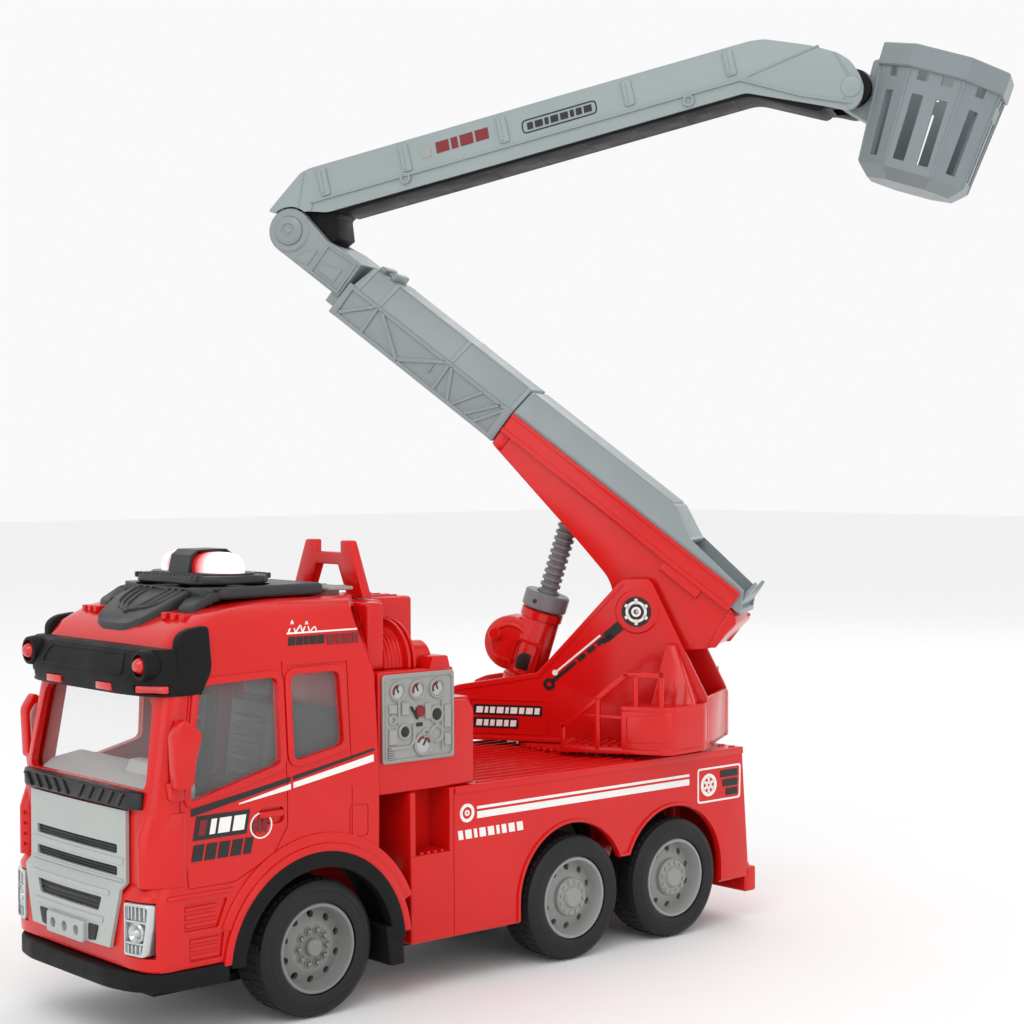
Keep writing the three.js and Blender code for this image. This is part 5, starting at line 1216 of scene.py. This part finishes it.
def spokes(x, z, half, near, far):
    """Six upright bars round a middle."""
    return [turned(prism(rect(x - half, x + half, z + near, z + far), 0, 0.3, "y"), 60 * k, "y", (x, 0, z))
            for k in range(6)]


def printed(name, body, solids, material):
    """The marks on the left side and their mirror images on the right."""
    piece(name, body, both(*solids), material, (), 30)


def flat(outlines, height=0.3):
    return [prism(outline, 0, height, "y") for outline in outlines]


def lifted(solids, y):
    return [moved(solid, y=y) for solid in solids]


# rear body
BODY_SIDE, TURRET_SIDE, ARM_SIDE = 46.95, 22.25, 15.35     # just inside the faces that carry the marks
band = [rect(-78.5, -200.3, 70, 68.9), rect(-78.5, -200.3, 67.9, 65.2)]
band += bars_row(-69, -103, 57.6, 61.2, (3, 4, 2, 4, 4, 2, 3, 4, 4), -0.5, 1.3)
body_white = flat(band) + [ring_mark(-73.3, 67.9, 3.7, 2.4), ring_mark(-73.3, 67.9, 1.2, 0.5)]
EMBLEM = (-212.8, 63.9)
emblem = cut(prism(rounded([(-205.6, 56.2), (-233.2, 56.2), (-233.6, 71.6), (-205.6, 71.6)], 1.6), 0, 0.3, "y"),
             prism(rounded([(-206.4, 57), (-232.4, 57), (-232.8, 70.8), (-206.4, 70.8)], 1.2), -2, 2, "y"))
body_white += [emblem, ring_mark(*EMBLEM, 5, 3.4), ring_mark(*EMBLEM, 1.7, 0.7)]
body_white += spokes(*EMBLEM, 0.6, 1.5, 3.7)
printed("body_marks", "vehicle", lifted(body_white, BODY_SIDE), WHITE)
body_dark = flat([rect(-220.6, -231.4, 66.4, 69.6), rect(-222, -231.4, 62.2, 65.4),
                  rect(-224, -231.4, 58.2, 61.2)])
printed("body_blocks", "vehicle", lifted(body_dark, BODY_SIDE), INK)


# cab doors and roof side
def on_cab(solids):
    """Marks carried onto the cab's left wall."""
    return [on_cab_side(solid, -0.05) for solid in solids]


dark = flat([stripe((56, 84.6), (13.4, 91.7), 2.6, 1.6), stripe((12.2, 91.9), (-25.5, 98.5), 1.5, 0.8)])
dark += flat([[(55.4, 73.4), (32.8, 73.4), (31.2, 82), (53.8, 82)]], 0.22)
dark += flat(bars_row(56, 31, 66, 71.8, (4, 4, 4, 4, 3), 1.2, 1.1))
dark += flat(bars_row(11.6, -4.6, 139.4, 142.6, (3, 3, 2, 3, 3), 0.5, 0.5))
printed("cab_dark_marks", "vehicle", on_cab(dark), INK)
light = flat([stripe((36, 84.6), (13.4, 89.2), 0.4, 2), stripe((12.2, 89.5), (-25, 96.2), 2, 2.6)])
light += flat(bars_row(48.6, 34, 75, 80.4, (1.4, 3, 3), 1, 1.2), 0.36)
light += flat([[(12, 143.6), (12, 144.2), (-20, 144.2), (-20.2, 143.6)]])
for x, height in ((11.6, 148.6), (8.4, 146.8), (5.2, 148), (2, 146)):
    light += flat([[(x - back, 144), (x - back - width, 144), (x - 3, height), (x - 2.5, height)]
                   for back, width in ((0, 0.7), (3.2, 0.5))])
light += [ring_mark(26.5, 75.5, 4.8, 4.3)]
printed("cab_white_marks", "vehicle", on_cab(light), WHITE)
deep = flat(bars_row(-6, -20.6, 138.8, 142.6, (4, 3, 4, 3), -0.2, 0.6))
deep += flat(bars_row(53.4, 50.4, 75, 80.4, (1,), 1), 0.36)
deep += [prism(rounded([(24.2 + 2.2 * k, 72.6), (25.8 + 2.2 * k, 73.4), (26 + 2.2 * k, 76.6 + 1.4 * (k == 1)),
                        (24.8 + 2.2 * k, 78.6 + 1.4 * (k == 1)), (23.8 + 2.2 * k, 75.4)], 0.7), 0, 0.3, "y")
         for k in range(3)]
printed("cab_red_marks", "vehicle", on_cab(deep), MAROON)

# turret plates: a long open-ended spanner with a stripe beside it, a pivot disc and two rows in the frame
def along(t, side=0.0):
    """Point on the line of the spanner, t from its far ring (0) to the pivot (1), side mm across it."""
    start, end = Vector((22.2, 107.8)), Vector(PIVOT)
    across = Vector((end.y - start.y, start.x - end.x)).normalized()
    return tuple(start + (end - start) * t + across * side)


spanner = [ribbon([along(t0, s0), along(t1, s1)], width, 0, 0.35, "y", False, 0.95)
           for t0, s0, t1, s1, width in ((0.04, 0, 0.3, 0, 1.7), (0.33, 0, 0.41, 0, 2.2),
                                         (0.44, 0, 0.52, 0, 2.2), (0.55, 0, 0.63, 0, 2.4),
                                         (0.64, -0.2, 0.84, 0, 4.6), (0.6, -1.2, 0.7, -0.6, 2))]
spanner += [ring_mark(22.4, 107.6, 2.7, 1.1),
            cut(prism(circle(*PIVOT, 6.6, 40), 0, 1.4, "y"), prism(circle(*PIVOT, 1, 16), -1, 3, "y"))]
text_rows = (bars_row(56.8, 27, 93.8, 96.6, (4, 2, 3, 4, 2, 4, 3, 4, 3), 0.4),
             bars_row(56.8, 38, 88, 90.8, (4, 3, 3, 4, 3, 4), 0.4))
plates = [rect(58, 25.6, 92.8, 97.6), rect(58, 36.8, 87, 91.8)]
spanner += flat([rounded(outline[::-1], 1) for outline in plates], 0.22)
printed("turret_spanner", "turret", lifted(spanner, TURRET_SIDE), INK)
pale = [ribbon([along(0.12, 2.2), along(0.62, 2.2)], 0.9, 0, 0.35, "y", False, 0.9),
        prism(circle(*along(0.1, 2.2), 1.3, 20), 0, 0.35, "y")]
for row in text_rows:
    pale += flat(row, 0.36)
printed("turret_marks", "turret", lifted(pale, TURRET_SIDE), WHITE)
wheel_mark = [ring_mark(*PIVOT, 4.8, 3.6), ring_mark(*PIVOT, 2.2, 1.2)] + spokes(*PIVOT, 0.7, 3.4, 5.8)
printed("pivot_marks", "turret", lifted(wheel_mark, 23.6), WHITE)

# arm
printed("arm_square", "arm", lifted(flat([[(-71, 14.8), (-75.6, 14.8), (-75.8, 19.6), (-71.2, 19.6)]]),
                                    ARM_SIDE), PANEL)
printed("arm_blocks", "arm", lifted(flat(bars_row(-78.4, -104, 15.2, 20.2, (4, 2, 4, 4), 0.3, 1.2)), ARM_SIDE),
        MAROON)
outlined = [ribbon(rounded([(-120, 12.6), (-155, 12.4), (-155.4, 18), (-120.4, 18.2)], 2), 0.7, 0, 0.3, "y",
                   True)]
outlined += flat(bars_row(-122.4, -153, 13.8, 16.8, (3, 4, 2, 4, 4, 2, 3, 4), 0.2, 1))
printed("arm_bars", "arm", lifted(outlined, ARM_SIDE), INK)


# ---------------------------------------------------------------- nodes shown as they are packed
for node, material in (("chassis", BLACK), ("battery_cover", BLACK), ("button_cells", STEEL),
                       ("speaker", CHARCOAL), ("circuit_board", BOARD), ("turntable_retainer", STEEL),
                       ("boom_pin", STEEL), ("knuckle_pin", STEEL)):
    shown = frame["nodes"][node]
    if not shown.material_slots:
        shown.data.materials.append(material)
    for material_slot in shown.material_slots:
        material_slot.material = material

# ---------------------------------------------------------------- set, light and camera
scene = bpy.context.scene
scene.view_settings.view_transform = "Standard"
world = bpy.data.worlds.new("studio")
world.use_nodes = True
background = world.node_tree.nodes["Background"]
background.inputs["Color"].default_value = (1, 1, 1, 1)
background.inputs["Strength"].default_value = 0.95
scene.world = world

floor_mesh = bpy.data.meshes.new("floor")
floor_bm = bmesh.new()
FLOOR_HALF = 6
bmesh.ops.create_grid(floor_bm, x_segments=1, y_segments=1, size=FLOOR_HALF)
floor_bm.to_mesh(floor_mesh)
floor = bpy.data.objects.new("floor", floor_mesh)
scene.collection.objects.link(floor)
floor_mesh.materials.append(plastic("paper", (246, 246, 246), 0.85, 0.02, 6, vary=0.01, specular=0.2))


def light(name, spot, target, size, power):
    """Square soft light at one spot, aimed at another, in metres."""
    data = bpy.data.lights.new(name, "AREA")
    data.shape = "SQUARE"
    data.size = size
    data.energy = power
    made = bpy.data.objects.new(name, data)
    made.location = spot
    made.rotation_euler = (Vector(target) - Vector(spot)).to_track_quat("-Z", "Y").to_euler()
    scene.collection.objects.link(made)


CENTRE = Vector((0, 0, 0.15))         # what the lights aim at
light("key", (0.9, 0.7, 1.3), CENTRE, 0.9, 5.2)
light("fill", (0.2, 1.5, 0.5), CENTRE, 1.2, 2.2)
light("front", (1.6, 0.1, 0.35), CENTRE, 0.9, 2)
light("back", (-1.2, -0.6, 1.1), CENTRE, 0.9, 2.4)

camera_data = bpy.data.cameras.new("camera")
camera_data.lens, camera_data.sensor_width = 70.27, 36
camera = bpy.data.objects.new("camera", camera_data)
scene.collection.objects.link(camera)
YAW, PITCH, ROLL = math.radians(228.6426), math.radians(-1.3747), math.radians(-0.146)
look = Vector((math.cos(PITCH) * math.cos(YAW), math.cos(PITCH) * math.sin(YAW), math.sin(PITCH)))
right = look.cross(UP).normalized()
above = right.cross(look)
right, above = right * math.cos(ROLL) + above * math.sin(ROLL), above * math.cos(ROLL) - right * math.sin(ROLL)
CAMERA_SPOT = VEHICLE @ Vector((433.964, 650.704, 205.952))
camera.matrix_world = Matrix.Translation(CAMERA_SPOT) @ Matrix((right, above, -look)).transposed().to_4x4()
scene.camera = camera
